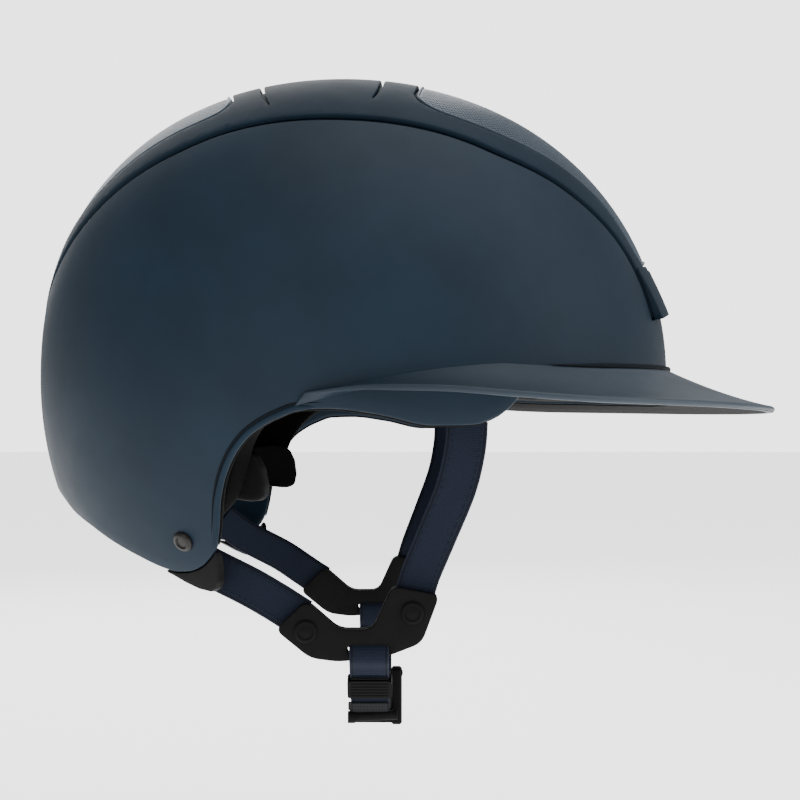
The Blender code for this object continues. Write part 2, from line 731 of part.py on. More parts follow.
def build_wing(side, label, level):
    """The curved arm beside the nape: a rounded lobe at its front end, and behind it the rack
    that runs above (level 1) or below (level -1) the pinion."""
    first, last = side * 150, side * 109.5

    def middle(t):
        return NAPE_Z + 0.004 + 0.002 * math.sin(math.pi * t) + 0.003 * t

    def half(t):
        body = 0.0085 + 0.0035 * smooth_between([(0, 0), (0.6, 0), (1, 1)], t)
        return body * (1 - abs(2 * t - 1) ** 7 * 0.98) ** (1 / 7)

    def edge(sign):
        return lambda p: (middle((p - first) / (last - first))
                          + sign * half((p - first) / (last - first)))
    wing = surface_patch("wing_" + label, first, last, edge(-1), edge(1), -0.0266, 0.0042,
                         (CLOTH, 0.8), 12, 2)
    rack_z = NAPE_Z + level * (PINION_R + 0.0012)
    ends = sorted((side * 0.0440, side * -0.0120))
    rack = box("rack_" + label, (NAPE_X - 0.0018, ends[0], rack_z - 0.0014),
               (NAPE_X + 0.0018, ends[1], rack_z + 0.0014), None, CUTTERS)
    ends = sorted((side * 0.0375, side * 0.0455))
    root = box("rack_root_" + label, (NAPE_X - 0.0018, ends[0], min(rack_z, NAPE_Z) - 0.0014),
               (NAPE_X + 0.0180, ends[1], max(rack_z, NAPE_Z) + 0.0014), None, CUTTERS)
    cut(wing, root, "UNION")
    cut(wing, rack, "UNION")


# ---------------------------------------------------------------- harness

FRONT_PATH = [(0.0444, 0.0880, -0.0056), (0.0437, 0.0850, -0.0160), (0.0407, 0.0790, -0.0300),
              (0.0339, 0.0700, -0.0480), (0.0284, 0.0638, -0.0620), (0.0262, 0.0625, -0.0690),
              (0.0248, 0.0625, -0.0735)]
REAR_PATH = [(-0.0540, 0.0661, -0.0585), (-0.0490, 0.0662, -0.0613), (-0.0361, 0.0656, -0.0679),
             (-0.0268, 0.0633, -0.0737), (-0.0215, 0.0625, -0.0772), (-0.0170, 0.0625, -0.0800)]
DIVIDER = [(-0.0270, -0.0840), (-0.0154, -0.0729), (-0.0029, -0.0838), (0.0097, -0.0838),
           (0.0172, -0.0674), (0.0352, -0.0708), (0.0284, -0.0890), (0.0158, -0.0939),
           (-0.0029, -0.0961), (-0.0138, -0.0947)]
CHIN_NEAR = [(-0.0611, -0.0970), (-0.0594, -0.0998), (-0.0560, -0.1040), (-0.0485, -0.1160),
             (-0.0440, -0.1210), (-0.0370, BUCKLE_Z)]
CHIN_FAR = [(0.0617, -0.0970), (0.0609, -0.1006), (0.0592, -0.1060), (0.0560, -0.1140),
            (0.0520, -0.1205), (0.0470, BUCKLE_Z), (0.0300, BUCKLE_Z), (0.0178, BUCKLE_Z)]
SLIDER_AT = 0.28  # share of the near chin strap's straight stretch


def build_harness(side, label):
    def side_path(points):
        return [mirrored(point, side) for point in points]

    def across(points):
        """The strap's width lies in the side plane, square to its run."""
        def direction(t):
            run = spline_point(points, min(t + 0.02, 1)) - spline_point(points, max(t - 0.02, 0))
            return Vector((run.z, 0, -run.x))
        return direction
    front, rear = side_path(FRONT_PATH), side_path(REAR_PATH)
    web("front_strap_" + label, front[:], across(front), (WEBBING, 0.8))
    web("rear_strap_" + label, rear[:], across(rear), (WEBBING, 0.8))
    # Two plates hold the straps between them, with a snap stud through each arm.
    stand = Matrix.Rotation(math.pi / 2, 4, "X")
    outline = rounded(DIVIDER, 0.0035, 2)
    gap_half = WEB_THICK / 2 + 0.0004
    slot = box("divider_slot_" + label, (0.0, side * 0.0625 - 0.02, -0.0930),
               (0.0165, side * 0.0625 + 0.02, -0.0902), None, CUTTERS)
    for layer, name in ((1, "divider_outer_"), (-1, "divider_inner_")):
        y = side * (DIVIDER_Y + layer * (gap_half + PLATE / 2))
        made = plate(name + label, outline, PLATE, (BLACK, 0.5),
                     Matrix.Translation((0, y, 0)) @ stand)
        cut(made, slot)
        bevel(made, 0.0005)
    for name, x, z in (("rear", -0.0154, -0.0846), ("front", 0.0248, -0.0776)):
        y = side * (DIVIDER_Y + gap_half + PLATE + GAP + 0.0006)
        cylinder("snap_{}_{}".format(name, label), (x, y, z), (0, side, 0), 0.0042, 0.0012,
                 (BLACK, 0.35), 14, top=0.0036)


def chin_path(points):
    return [Vector((CHIN_X, y, z)) for y, z in points]


def build_chin():
    wide = Vector((1, 0, 0))
    near, far = chin_path(CHIN_NEAR), chin_path(CHIN_FAR)
    web("chin_strap_right", near, lambda t: wide, (WEBBING, 0.8), 16)
    web("chin_strap_left", far, lambda t: wide, (WEBBING, 0.8), 18)
    # The slider: a frame round the near strap's straight stretch.
    run = (near[3] - near[2]).normalized()
    build_frame("strap_slider", near[2].lerp(near[3], SLIDER_AT), run, 0.0172, 0.0085, 0.0048)


def build_frame(name, centre, run, width, length, thick):
    """A rectangular sleeve with a slot along its run, slid over the webbing."""
    normal = Vector((1, 0, 0)).cross(run)
    turn = Matrix((Vector((1, 0, 0)), run, normal)).transposed().to_4x4()
    place = Matrix.Translation(centre) @ turn
    outline = rounded([(-width / 2, -length / 2), (width / 2, -length / 2),
                       (width / 2, length / 2), (-width / 2, length / 2)], 0.0012, 2)
    sleeve = plate(name, outline, thick, (BLACK, 0.45), place)
    inner = WEB_WIDTH / 2 + 0.0003
    hole = plate(name + "_hole", [(-inner, -0.02), (inner, -0.02), (inner, 0.02),
                                  (-inner, 0.02)], WEB_THICK + 0.0009, None, place, CUTTERS)
    cut(sleeve, hole)


def build_buckle():
    half_w, half_t = BUCKLE_WIDTH / 2, BUCKLE_THICK / 2
    x, z = CHIN_X + 0.001, BUCKLE_Z
    near_y, mouth_y = -0.0360, -0.0060
    look = (BLACK, 0.42)
    housing = box("buckle_housing", (x - half_w, near_y, z - half_t),
                  (x + half_w, mouth_y, z + half_t), look)
    # The cavity takes the tongue, and the side windows run out to the mouth.
    cavity = box("buckle_cavity", (x - half_w + 0.0014, near_y + 0.0050, z - half_t + 0.0010),
                 (x + half_w - 0.0014, mouth_y + 0.01, z + half_t - 0.0010), None, CUTTERS)
    windows = box("buckle_windows", (x - half_w - 0.01, mouth_y - 0.0205, z - 0.0015),
                  (x + half_w + 0.01, mouth_y + 0.01, z + 0.0015), None, CUTTERS)
    pin_slot = box("pin_slot", (x - half_w + 0.0030, near_y + 0.0022, z - half_t - 0.01),
                   (x + half_w - 0.0030, near_y + 0.0042, z + half_t + 0.01), None, CUTTERS)
    for cutter in (cavity, windows, pin_slot):
        cut(housing, cutter)
    # A lever stands up beside the webbing at the housing's near end.
    box("buckle_lever", (0.0166, near_y - 0.0070, z - half_t + 0.0006),
        (0.0209, near_y - GAP, -0.1025), look, bevel_width=0.0008)
    # The tongue: a hollow ladder-lock body that slides along its own webbing.
    body_low, body_high = mouth_y + GAP, 0.0215
    tongue = box("buckle_tongue", (x - half_w, body_low, z - 0.0026),
                 (x + half_w, body_high, z + 0.0026), look)
    stem = box("tongue_stem", (x - 0.0030, near_y + 0.0095, z - 0.0014),
               (x + 0.0030, body_low + 0.001, z + 0.0014), None, CUTTERS)
    cut(tongue, stem, "UNION")
    strap_way = WEB_WIDTH / 2 + 0.0004
    channel = box("tongue_channel",
                  (CHIN_X - strap_way, body_low + 0.0022, z - WEB_THICK / 2 - 0.0003),
                  (CHIN_X + strap_way, 0.04, z + WEB_THICK / 2 + 0.0003), None, CUTTERS)
    cut(tongue, channel)
    # Each arm flexes inward about its root in the tongue.
    for sign, label in ((1, "front"), (-1, "rear")):
        root_y = body_low - 0.0006
        inner, outer = 0.0046, 0.0074
        outline = [(inner, root_y), (outer, root_y), (outer, -0.0150), (outer + 0.0034, -0.0150),
                   (outer + 0.0034, -0.0185), (outer - 0.0004, -0.0250), (inner + 0.0006, -0.0250)]
        outline = [(sign * a, b) for a, b in outline]
        plate("release_arm_" + label, outline, 0.0026, look, Matrix.Translation((x, 0, z)))


def build_all():
    build_shell()
    build_band()
    build_badge()
    build_brim()
    build_brim_underside()
    build_liner()
    build_cradle()
    build_chin()
    build_buckle()
    for side, label in ((-1, "right"), (1, "left")):
        build_ear_trim(side, label)
        build_rear_anchor(side, label)
        build_front_anchor(side, label)
        build_harness(side, label)


build_all()
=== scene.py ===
"""Looks of the riding helmet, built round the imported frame. Metres, +X forward, +Z up."""

from math import asin, atan2, copysign, cos, degrees, dist, exp, hypot, pi, radians, sin

import bmesh
import bpy
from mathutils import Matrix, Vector
from mathutils.geometry import delaunay_2d_cdt
from mathutils.kdtree import KDTree


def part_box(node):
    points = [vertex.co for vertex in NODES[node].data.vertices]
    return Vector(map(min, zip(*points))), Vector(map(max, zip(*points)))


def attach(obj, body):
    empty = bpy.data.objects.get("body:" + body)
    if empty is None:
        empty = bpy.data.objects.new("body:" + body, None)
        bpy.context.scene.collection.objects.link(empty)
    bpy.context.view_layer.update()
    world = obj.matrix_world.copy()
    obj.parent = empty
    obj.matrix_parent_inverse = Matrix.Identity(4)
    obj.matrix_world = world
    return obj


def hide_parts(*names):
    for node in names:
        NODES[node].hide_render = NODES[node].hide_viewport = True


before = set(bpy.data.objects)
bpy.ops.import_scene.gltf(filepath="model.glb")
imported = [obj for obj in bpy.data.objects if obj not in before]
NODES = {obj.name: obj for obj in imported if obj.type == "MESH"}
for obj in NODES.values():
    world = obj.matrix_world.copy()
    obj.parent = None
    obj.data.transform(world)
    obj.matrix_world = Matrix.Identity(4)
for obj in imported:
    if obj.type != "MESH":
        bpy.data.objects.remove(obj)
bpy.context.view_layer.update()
SHELL = "helmet"

# The dome that the shell, band, liner and pads follow, as in the part's source.
SHELL_FRONT, SHELL_REAR, SHELL_HALF_WIDTH = 0.1310, 0.1307, 0.107
CROWN_Z, DOME_X, DOME_Z, EGG = 0.1365, 0.001, 0.012, 0.04
DEPTH_FRONT, DEPTH_SIDE, DEPTH_REAR = 0.150, 0.122, 0.138
SHELL_WALL, RIM_TURN = 0.0040, 0.0055 / 0.12  # the rim's turn is an angle of rise
FOAM_OUTER, FOAM_WALL, PAD_OUTER = 0.0052, 0.0165, 0.0242
SHELL_EDGE = [
    (0, 0.0130), (22, 0.0125), (45, 0.0120), (58.5, 0.0115), (61.3, 0.0040), (63.5, -0.0012),
    (65.5, -0.0040), (67.2, -0.0056), (69, -0.0068), (72, -0.0072), (76.3, -0.0072),
    (84.7, -0.0035), (92.2, -0.0014), (96.8, -0.0017), (100.6, -0.0045), (104.8, -0.0098),
    (107.5, -0.0158), (110, -0.0245), (111.6, -0.0325), (113.6, -0.0453), (115.2, -0.0520),
    (117.5, -0.0562), (120, -0.0592), (123.5, -0.0613), (127, -0.0617), (130, -0.0605),
    (136, -0.0562), (142, -0.0515), (148.3, -0.0460), (155, -0.0412), (161, -0.0357),
    (168, -0.0325), (180, -0.0315),
]
FOAM_EDGE = [
    (0, 0.0210), (45, 0.0200), (59, 0.0190), (64, 0.0110), (76, 0.0080), (90, 0.0045),
    (97, 0.0035), (103, -0.0040), (108, -0.0160), (112, -0.0330), (116, -0.0430),
    (134, -0.0430), (141, -0.0330), (148, -0.0130), (180, -0.0100),
]
BAND_FIRST, BAND_LAST, BAND_BOW = 13.0, 171.0, 1.2
BAND_HALF = [
    (8, 20.5), (25, 24.8), (43, 32.6), (60, 38.9), (88, 41.4), (121, 36.8), (143, 29.0),
    (155, 22.6), (159, 20.0), (164, 15.8), (171, 11.5),
]
# Each window of the band: its ends, its half widths, and how square its ends are.
GRILLES = {
    "front_grille": (22.2, 78.0, [(26, 21), (36, 22.2), (46, 26.4), (61, 32.6), (78, 35.4)], 7.0),
    "rear_grille": (112.0, 157.0, [(112, 32.8), (121, 29.6), (131, 26.4), (143, 22.2),
                                   (157, 14.0)], 6.0),
}
SLOTS, SLOT_HALF, SLOT_WIDTH = ((84.5, 1.1), (106.5, -0.8)), 34.0, 0.75
BADGE_TOP, BADGE_WIDE, BADGE_HIGH = 20.9, 82.0, 18.0
BRIM_X, BRIM_FRONT, BRIM_REAR, BRIM_HALF_WIDTH = 0.050, 0.1255, 0.160, 0.118
BRIM_LIP, BRIM_END, BRIM_TOP_Z = 0.0022, 113, 0.0165
ROOT_DROPS, END_CLOSES, LIP_THINS = 88, 96, 100  # where along the brim, in degrees
LIP_TOP = 0.0018  # the lip's upper edge above the outline
BRIM_LINE = [(-0.020, 0.0016), (0.013, 0.0051), (0.030, 0.0049), (0.062, 0.0027),
             (0.091, 0.0010), (0.131, 0.0000), (0.176, -0.0014)]  # the outline's height along x
SEAM_SHADOW_REACH, LINING_REACH = 78, 84
EAR_FIRST, EAR_LAST, EAR_BEAD_FIRST = 62.5, 115.0, 93
RIVET_AT, RIVET_Z = 121.6, -0.0493
DIVIDER_Y, PLATE, WEB_WIDTH, WEB_THICK = 0.0625, 0.0022, 0.0150, 0.0014
CHIN_X, BUCKLE_Z = 0.0085, -0.1225
NAPE_X, NAPE_Z, PINION_R, PINION_TEETH = -0.0962, -0.0330, 0.0060, 14
DEGREE = 2.3  # millimetres of crown for one degree, used to lay loops out flat
RIM_DEGREE = 2.0  # millimetres of rim for one degree, for forms near the lower edge
WING_REAR, WING_FRONT = 150, 109.5
SIDES = ((-1, "right"), (1, "left"))


# ---- geometry

def smooth_between(points, at):
    """Monotone cubic through (place, value) points, flat beyond both ends."""
    if at <= points[0][0]:
        return points[0][1]
    if at >= points[-1][0]:
        return points[-1][1]
    slopes = [(b[1] - a[1]) / (b[0] - a[0]) for a, b in zip(points, points[1:])]

    def tangent(i):
        if i in (0, len(points) - 1):
            return slopes[0] if i == 0 else slopes[-1]
        left, right = slopes[i - 1], slopes[i]
        return 0 if left * right <= 0 else 2 * left * right / (left + right)

    for i, (a, b) in enumerate(zip(points, points[1:])):
        if at <= b[0]:
            span = b[0] - a[0]
            t = (at - a[0]) / span
            rise, fall = t * t * (3 - 2 * t), 1 - t * t * (3 - 2 * t)
            return (fall * a[1] + rise * b[1] + span * t * (1 - t) ** 2 * tangent(i)
                    - span * t * t * (1 - t) * tangent(i + 1))


def share_of(value, low, high):
    """How far a value lies from low to high, kept between 0 and 1."""
    return max(0.0, min(1.0, (value - low) / (high - low)))


def power(value, exponent):
    return copysign(abs(value) ** exponent, value)


def dome_power(azimuth):
    return 2.16 - 0.08 * cos(azimuth)


def section(azimuth, upper, out):
    """Exponent and height of the dome's upright section at an azimuth."""
    c, s = cos(azimuth), sin(azimuth)
    if upper:
        return dome_power(azimuth), CROWN_Z - DOME_Z + out
    return 2.0, (DEPTH_FRONT * max(c, 0) ** 2 + DEPTH_SIDE * s * s
                 + DEPTH_REAR * min(c, 0) ** 2) + out


def dome(azimuth, rise, out=0.0):
    c, s = cos(azimuth), sin(azimuth)
    length = (SHELL_FRONT if c >= 0 else SHELL_REAR) + out
    width = (SHELL_HALF_WIDTH + out) * (1 - EGG * c)
    n, height = section(azimuth, rise >= 0, out)
    r, h = power(cos(rise), 2 / n), power(sin(rise), 2 / n)
    return Vector((DOME_X + length * c * r, width * s * r, DOME_Z + height * h))


def dome_normal(azimuth, rise):
    """Outward direction at a point of the dome."""
    step = 0.002
    rise = min(rise, pi / 2 - 2 * step)
    round_it = dome(azimuth + step, rise) - dome(azimuth - step, rise)
    up = dome(azimuth, rise + step) - dome(azimuth, rise - step)
    return round_it.cross(up).normalized()


def rise_of(azimuth, z, out=0.0):
    n, height = section(azimuth, z >= DOME_Z, out)
    return asin(max(-1, min(1, power((z - DOME_Z) / height, n / 2))))


def dome_at(azimuth, z, out=0.0):
    return dome(azimuth, rise_of(azimuth, z), out)


def edge_at(place, out=0.0):
    """A point of the shell's lower edge, at an azimuth in degrees."""
    return dome_at(radians(place), smooth_between(SHELL_EDGE, place), out)


def crown_angles(along, across):
    phi, psi = radians(along), radians(across)
    x, y, z = (cos(phi) * cos(psi), sin(psi), sin(phi) * cos(psi))
    azimuth = atan2(y, x)
    n = dome_power(azimuth) / 2
    return azimuth, atan2(power(z, n), hypot(x, y) ** n)


def crown(along, across, out=0.0):
    return dome(*crown_angles(along, across), out)


def spline_point(points, at):
    """Catmull-Rom curve through points, with at from 0 to 1."""
    spans = len(points) - 1
    place = min(max(at, 0.0), 0.999999) * spans
    i, t = int(place), place - int(place)
    p = [Vector(points[max(0, min(spans, j))]) for j in (i - 1, i, i + 1, i + 2)]
    return 0.5 * (2 * p[1] + (p[2] - p[0]) * t + (2 * p[0] - 5 * p[1] + 4 * p[2] - p[3]) * t * t
                  + (3 * p[1] - p[0] - 3 * p[2] + p[3]) * t ** 3)


def on_side(point, side):
    """A point of the left half, on either side."""
    return Vector((point[0], side * point[1], point[2]))


def flat_direction(azimuth, z=0.0):
    return Vector((cos(azimuth), sin(azimuth), z))


def circle(sides, start=0.0):
    turns = [2 * pi * i / sides + start for i in range(sides)]
    return [(cos(a), sin(a)) for a in turns]


# ---- objects

def add_object(name, data):
    obj = bpy.data.objects.new(name, data)
    bpy.context.scene.collection.objects.link(obj)
    return obj


def finish_piece(name, bm, look, body=SHELL, replaces=(), sharp=40):
    """Turns a bmesh into a piece that rides on a body and stands for its CAD nodes."""
    mesh = bpy.data.meshes.new(name)
    bm.to_mesh(mesh)
    bm.free()
    mesh.shade_smooth()
    mesh.set_sharp_from_angle(angle=radians(sharp))
    mesh.materials.append(look)
    obj = add_object(name, mesh)
    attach(obj, body)
    if replaces:
        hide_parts(*replaces)
    return obj


def quads(bm, first, second, closed=False, flip=False):
    """Faces between two rows of vertices."""
    count = len(first)
    for i in range(count if closed else count - 1):
        j = (i + 1) % count
        face = (first[i], first[j], second[j], second[i])
        bm.faces.new(reversed(face) if flip else face)


def rows_to_bmesh(rows, closed_across=True, closed_along=False, caps=False):
    """A grid of points as a mesh: each row closed or open, and the first and last rows
    joined, capped or left open."""
    bm = bmesh.new()
    made = [[bm.verts.new(p) for p in row] for row in rows]
    for a, b in zip(made, made[1:]):
        quads(bm, a, b, closed_across)
    if closed_along:
        quads(bm, made[-1], made[0], closed_across)
    if caps:
        for row in (made[0], made[-1]):
            bm.faces.new(row)
    return bm


def tidy(bm, merge=1e-7, fill=False):
    """Merges doubles, fills what is open where that is asked, and turns faces outward."""
    if fill:
        bmesh.ops.holes_fill(bm, edges=[e for e in bm.edges if e.is_boundary], sides=0)
    bmesh.ops.remove_doubles(bm, verts=bm.verts, dist=merge)
    bmesh.ops.recalc_face_normals(bm, faces=bm.faces)
    return bm


def offset_loop(loop, by):
    """A counter-clockwise loop moved outward by this many millimetres."""
    made = []
    for i, here in enumerate(loop):
        run = (Vector(loop[(i + 1) % len(loop)]) - Vector(loop[i - 1])).normalized()
        made.append((here[0] + run.y * by, here[1] - run.x * by))
    return made


def inside(loop, x, y):
    hit = False
    for (ax, ay), (bx, by) in zip(loop, loop[1:] + loop[:1]):
        if (ay > y) != (by > y) and x < (bx - ax) * (y - ay) / (by - ay) + ax:
            hit = not hit
    return hit


def even_loop(loop, pitch):
    """The closed loop again, counter-clockwise, with points about pitch apart."""
    area = sum(a[0] * b[1] - b[0] * a[1] for a, b in zip(loop, loop[1:] + loop[:1]))
    if area < 0:
        loop = loop[::-1]
    loop = loop + loop[:1]
    lengths = [0.0]
    for a, b in zip(loop, loop[1:]):
        lengths.append(lengths[-1] + dist(a, b))
    count = max(12, int(lengths[-1] / pitch))
    made, i = [], 0
    for k in range(count):
        want = lengths[-1] * k / count
        while lengths[i + 1] < want:
            i += 1
        t = (want - lengths[i]) / max(1e-9, lengths[i + 1] - lengths[i])
        made.append((loop[i][0] + (loop[i + 1][0] - loop[i][0]) * t,
                     loop[i][1] + (loop[i + 1][1] - loop[i][1]) * t))
    return made


def rounded(corners, radius, steps=5):
    made = []
    count = len(corners)
    for i, corner in enumerate(corners):
        here = Vector(corner)
        before = Vector(corners[i - 1]) - here
        after = Vector(corners[(i + 1) % count]) - here
        back = min(radius, before.length / 2.05)
        ahead = min(radius, after.length / 2.05)
        first, last = here + before.normalized() * back, here + after.normalized() * ahead
        for step in range(steps + 1):
            t = step / steps
            made.append(tuple(first * (1 - t) ** 2 + here * 2 * t * (1 - t) + last * t * t))
    return made


def corners(low, high):
    return [low, (high[0], low[1]), high, (low[0], high[1])]


# A quarter circle, as shares of its radius.
ROUND = [(1.0, 0.0), (0.5, 0.134), (0.134, 0.5), (0.0, 1.0)]


def sheet_mesh(outer, holes, place, thick, edge, spacing, pierced=(), pitch=1.0, back_edge=0.0):
    """A solid sheet laid out flat in millimetres and put in space by place(x, y, depth).
    Its rims, round the outside and round each hole, are rounded by edge; pierced holes
    are small convex loops with square rims."""
    loops = [even_loop(loop, pitch) for loop in [outer, *holes]]
    inner_loops = [offset_loop(loop, edge if k else -edge) for k, loop in enumerate(loops)]
    points, edges, owner = [], [], []
    for k, inner in enumerate(inner_loops + list(pierced)):
        start = len(points)
        points += [Vector(p) for p in inner]
        edges += [(start + i, start + (i + 1) % len(inner)) for i in range(len(inner))]
        owner += [k] * len(inner)
    tree = KDTree(len(points))
    for i, p in enumerate(points):
        tree.insert((p.x, p.y, 0), i)
    tree.balance()
    if not pierced:
        xs, ys = zip(*inner_loops[0])
        rows = int((max(ys) - min(ys)) / (spacing * 0.866)) + 1
        for row in range(rows + 1):
            y = min(ys) + row * spacing * 0.866
            for column in range(int((max(xs) - min(xs)) / spacing) + 2):
                x = min(xs) + (column + 0.5 * (row % 2)) * spacing
                if (tree.find((x, y, 0))[2] >= spacing * 0.55 and inside(inner_loops[0], x, y)
                        and not any(inside(loop, x, y) for loop in inner_loops[1:])):
                    points.append(Vector((x, y)))
                    owner.append(-1)
    flat, _, faces, origins, _, _ = delaunay_2d_cdt(points, edges, [], 0, 1e-6)
    bm = bmesh.new()
    top = [bm.verts.new(place(p.x, p.y, 0.0)) for p in flat]
    low = [bm.verts.new(place(p.x, p.y, thick)) for p in flat]
    whose = [owner[origin[0]] if origin else -1 for origin in origins]
    at = {origin[0]: i for i, origin in enumerate(origins) if origin}
    big = len(inner_loops)
    for face in faces:
        owners = {whose[i] for i in face}
        if len(owners) == 1:
            k = owners.pop()
            if k >= big:
                continue
            if k >= 0:
                middle = sum(flat[i].x for i in face) / 3, sum(flat[i].y for i in face) / 3
                if inside(inner_loops[k], *middle) == (k > 0):
                    continue
        bm.faces.new([top[i] for i in face])
        bm.faces.new([low[i] for i in reversed(face)])
    start = 0
    for k, inner in enumerate(inner_loops + list(pierced)):
        ids = [at[start + i] for i in range(len(inner))]
        rows = [[top[i] for i in ids]]
        if k < big:
            loop, sign = loops[k], -1 if k == 0 else 1
            for share, depth in ROUND[1:]:
                ring = offset_loop(loop, sign * edge * share)
                rows.append([bm.verts.new(place(x, y, edge * depth * 1e-3)) for x, y in ring])
            for share, depth in reversed(ROUND[1:] if back_edge else ROUND[3:]):
                ring = offset_loop(loop, sign * back_edge * share)
                rows.append([bm.verts.new(place(x, y, thick - back_edge * depth * 1e-3))
                             for x, y in ring])
        rows.append([low[i] for i in ids])
        for a, b in zip(rows, rows[1:]):
            quads(bm, a, b, True)
        start += len(inner)
    return tidy(bm)


def lathe(profile, centre, axis, sides=40):
    """A turned form: profile is (radius, height) from the foot to the middle of the top."""
    turn = Vector((0, 0, 1)).rotation_difference(Vector(axis)).to_matrix()
    return tidy(rows_to_bmesh([[Vector(centre) + turn @ Vector((radius * c, radius * s, height))
                                for c, s in circle(sides)] for radius, height in profile]),
                1e-6, True)


def tube(points, radius, sides=12):
    """A round rod along points. radius may be a function of the share of its length."""
    size = radius if callable(radius) else lambda t: radius
    count = len(points)
    rows = []
    start = (points[1] - points[0]).normalized()
    side = start.cross(Vector((0, 0, 1)) if abs(start.z) < 0.9 else Vector((1, 0, 0)))
    for i, here in enumerate(points):
        run = (points[min(i + 1, count - 1)] - points[max(i - 1, 0)]).normalized()
        side = (side - run * side.dot(run)).normalized()
        up = run.cross(side)
        t = i / (count - 1)
        rows.append([here + (side * c + up * s) * size(t) for c, s in circle(sides)])
    return tidy(rows_to_bmesh(rows, caps=True))


def fade_in(radius, floor, gain, end=1.0):
    """A tube's radius that grows from a share of itself at each end."""
    return lambda t: radius * min(1.0, floor + gain * min(t, end - t))


def block(low, high, bevel, segments=3):
    bm = bmesh.new()
    bmesh.ops.create_cube(bm, size=1)
    bmesh.ops.scale(bm, vec=[b - a for a, b in zip(low, high)], verts=bm.verts)
    bmesh.ops.translate(bm, vec=[(a + b) / 2 for a, b in zip(low, high)], verts=bm.verts)
    bmesh.ops.bevel(bm, geom=bm.edges[:], offset=bevel, segments=segments, affect="EDGES",
                    profile=0.6)
    return bm


def join(*meshes):
    """Several bmeshes as one."""
    whole = bmesh.new()
    for bm in meshes:
        mesh = bpy.data.meshes.new("joined")
        bm.to_mesh(mesh)
        bm.free()
        whole.from_mesh(mesh)
        bpy.data.meshes.remove(mesh)
    return whole


# ---- materials

MIX_A, MIX_B, MIX_COLOR = 6, 7, 2  # a mix node's colour inputs and its colour output


class Look:
    """A Principled material and its node tree."""

    def __init__(self, name, color, roughness, **values):
        self.color = color
        self.mat = bpy.data.materials.new(name)
        self.mat.use_nodes = True
        self.tree = self.mat.node_tree
        self.shader = self.tree.nodes["Principled BSDF"]
        self.shader.inputs["Base Color"].default_value = (*color, 1)
        self.shader.inputs["Roughness"].default_value = roughness
        for key, value in values.items():
            self.shader.inputs[key.replace("_", " ")].default_value = value

    def node(self, kind, **settings):
        made = self.tree.nodes.new(kind)
        for key, value in settings.items():
            if hasattr(made, key):
                setattr(made, key, value)
            else:
                made.inputs[key.replace("_", " ")].default_value = value
        return made

    def link(self, a, output, b, socket):
        self.tree.links.new(a.outputs[output], b.inputs[socket])

    def coordinates(self, stretch=(1, 1, 1), uv=False):
        source = self.node("ShaderNodeTexCoord")
        mapping = self.node("ShaderNodeMapping", Scale=stretch)
        self.link(source, "UV" if uv else "Object", mapping, "Vector")
        return mapping

    def noise(self, where, scale, detail=3.0, roughness=0.55):
        return self.texture("Noise", where, Scale=scale, Detail=detail, Roughness=roughness)

    def ramp(self, source, output, stops):
        made = self.node("ShaderNodeValToRGB")
        band = made.color_ramp
        band.elements[0].position, band.elements[1].position = stops[0][0], stops[-1][0]
        band.elements[0].color, band.elements[1].color = (*stops[0][1], 1), (*stops[-1][1], 1)
        for place, color in stops[1:-1]:
            band.elements.new(place).color = (*color, 1)
        self.link(source, output, made, "Fac")
        return made

    def spread(self, source, output, low, high, **settings):
        made = self.node("ShaderNodeMapRange", To_Min=low, To_Max=high, **settings)
        self.link(source, output, made, "Value")
        return made

    def tone(self, source, output, *stops):
        """Base colour by a ramp, whose stops each multiply the colour that was given."""
        made = self.ramp(source, output, [(place, [c * by for c in self.color])
                                          for place, by in stops])
        self.link(made, "Color", self.shader, "Base Color")
        return made

    def gloss(self, source, output, low, high):
        self.link(self.spread(source, output, low, high), "Result", self.shader, "Roughness")

    def texture(self, kind, where, **settings):
        made = self.node("ShaderNodeTex" + kind, **settings)
        self.link(where, 0, made, "Vector")
        return made

    def cells(self, where, scale, **settings):
        return self.texture("Voronoi", where, Scale=scale, **settings)

    def wave(self, where, axis, spacing, **settings):
        return self.texture("Wave", where, wave_type="BANDS", bands_direction=axis,
                            Scale=0.31416 / spacing, **settings)

    def bump(self, source, output, strength, distance, after=None):
        made = self.node("ShaderNodeBump", Strength=strength, Distance=distance)
        self.link(source, output, made, "Height")
        if after:
            self.link(after, "Normal", made, "Normal")
        self.link(made, "Normal", self.shader, "Normal")
        return made

    def combine(self, operation, a, a_out, b, b_out):
        made = self.node("ShaderNodeMath", operation=operation)
        self.link(a, a_out, made, 0)
        self.link(b, b_out, made, 1)
        return made


def painted(name, color, roughness, behind=None, **values):
    """Satin paint or moulding: fine orange peel, faint mottling, uneven gloss. behind is the
    darker tone that it fades to towards the back, and the two places between which it changes;
    the lighter tone ahead of it is painted light."""
    look = Look(name, color, roughness, **values)
    where = look.coordinates()
    tone = look.tone(look.noise(where, 26.0, 4.0), 0, (0.3, 0.84), (0.7, 1.16))
    # A fade along x to the behind tone: on the brim, the lighter front is painted light.
    if behind:
        split = look.node("ShaderNodeSeparateXYZ")
        look.link(where, 0, split, "Vector")
        along = look.spread(split, "X", 0.0, 1.0, From_Min=behind[1], From_Max=behind[2])
        mix = look.node("ShaderNodeMix", data_type="RGBA")
        mix.inputs[MIX_A].default_value = (*behind[0], 1)
        look.link(along, "Result", mix, 0)
        look.link(tone, "Color", mix, MIX_B)
        look.link(mix, MIX_COLOR, look.shader, "Base Color")
    look.gloss(look.noise(where, 90.0, 5.0), 0, roughness - 0.05, roughness + 0.07)
    peel = look.bump(look.noise(where, 420.0, 2.0), 0, 0.10, 0.0002)
    look.bump(look.noise(where, 2600.0, 2.0), 0, 0.22, 0.00006, peel)
    return look.mat


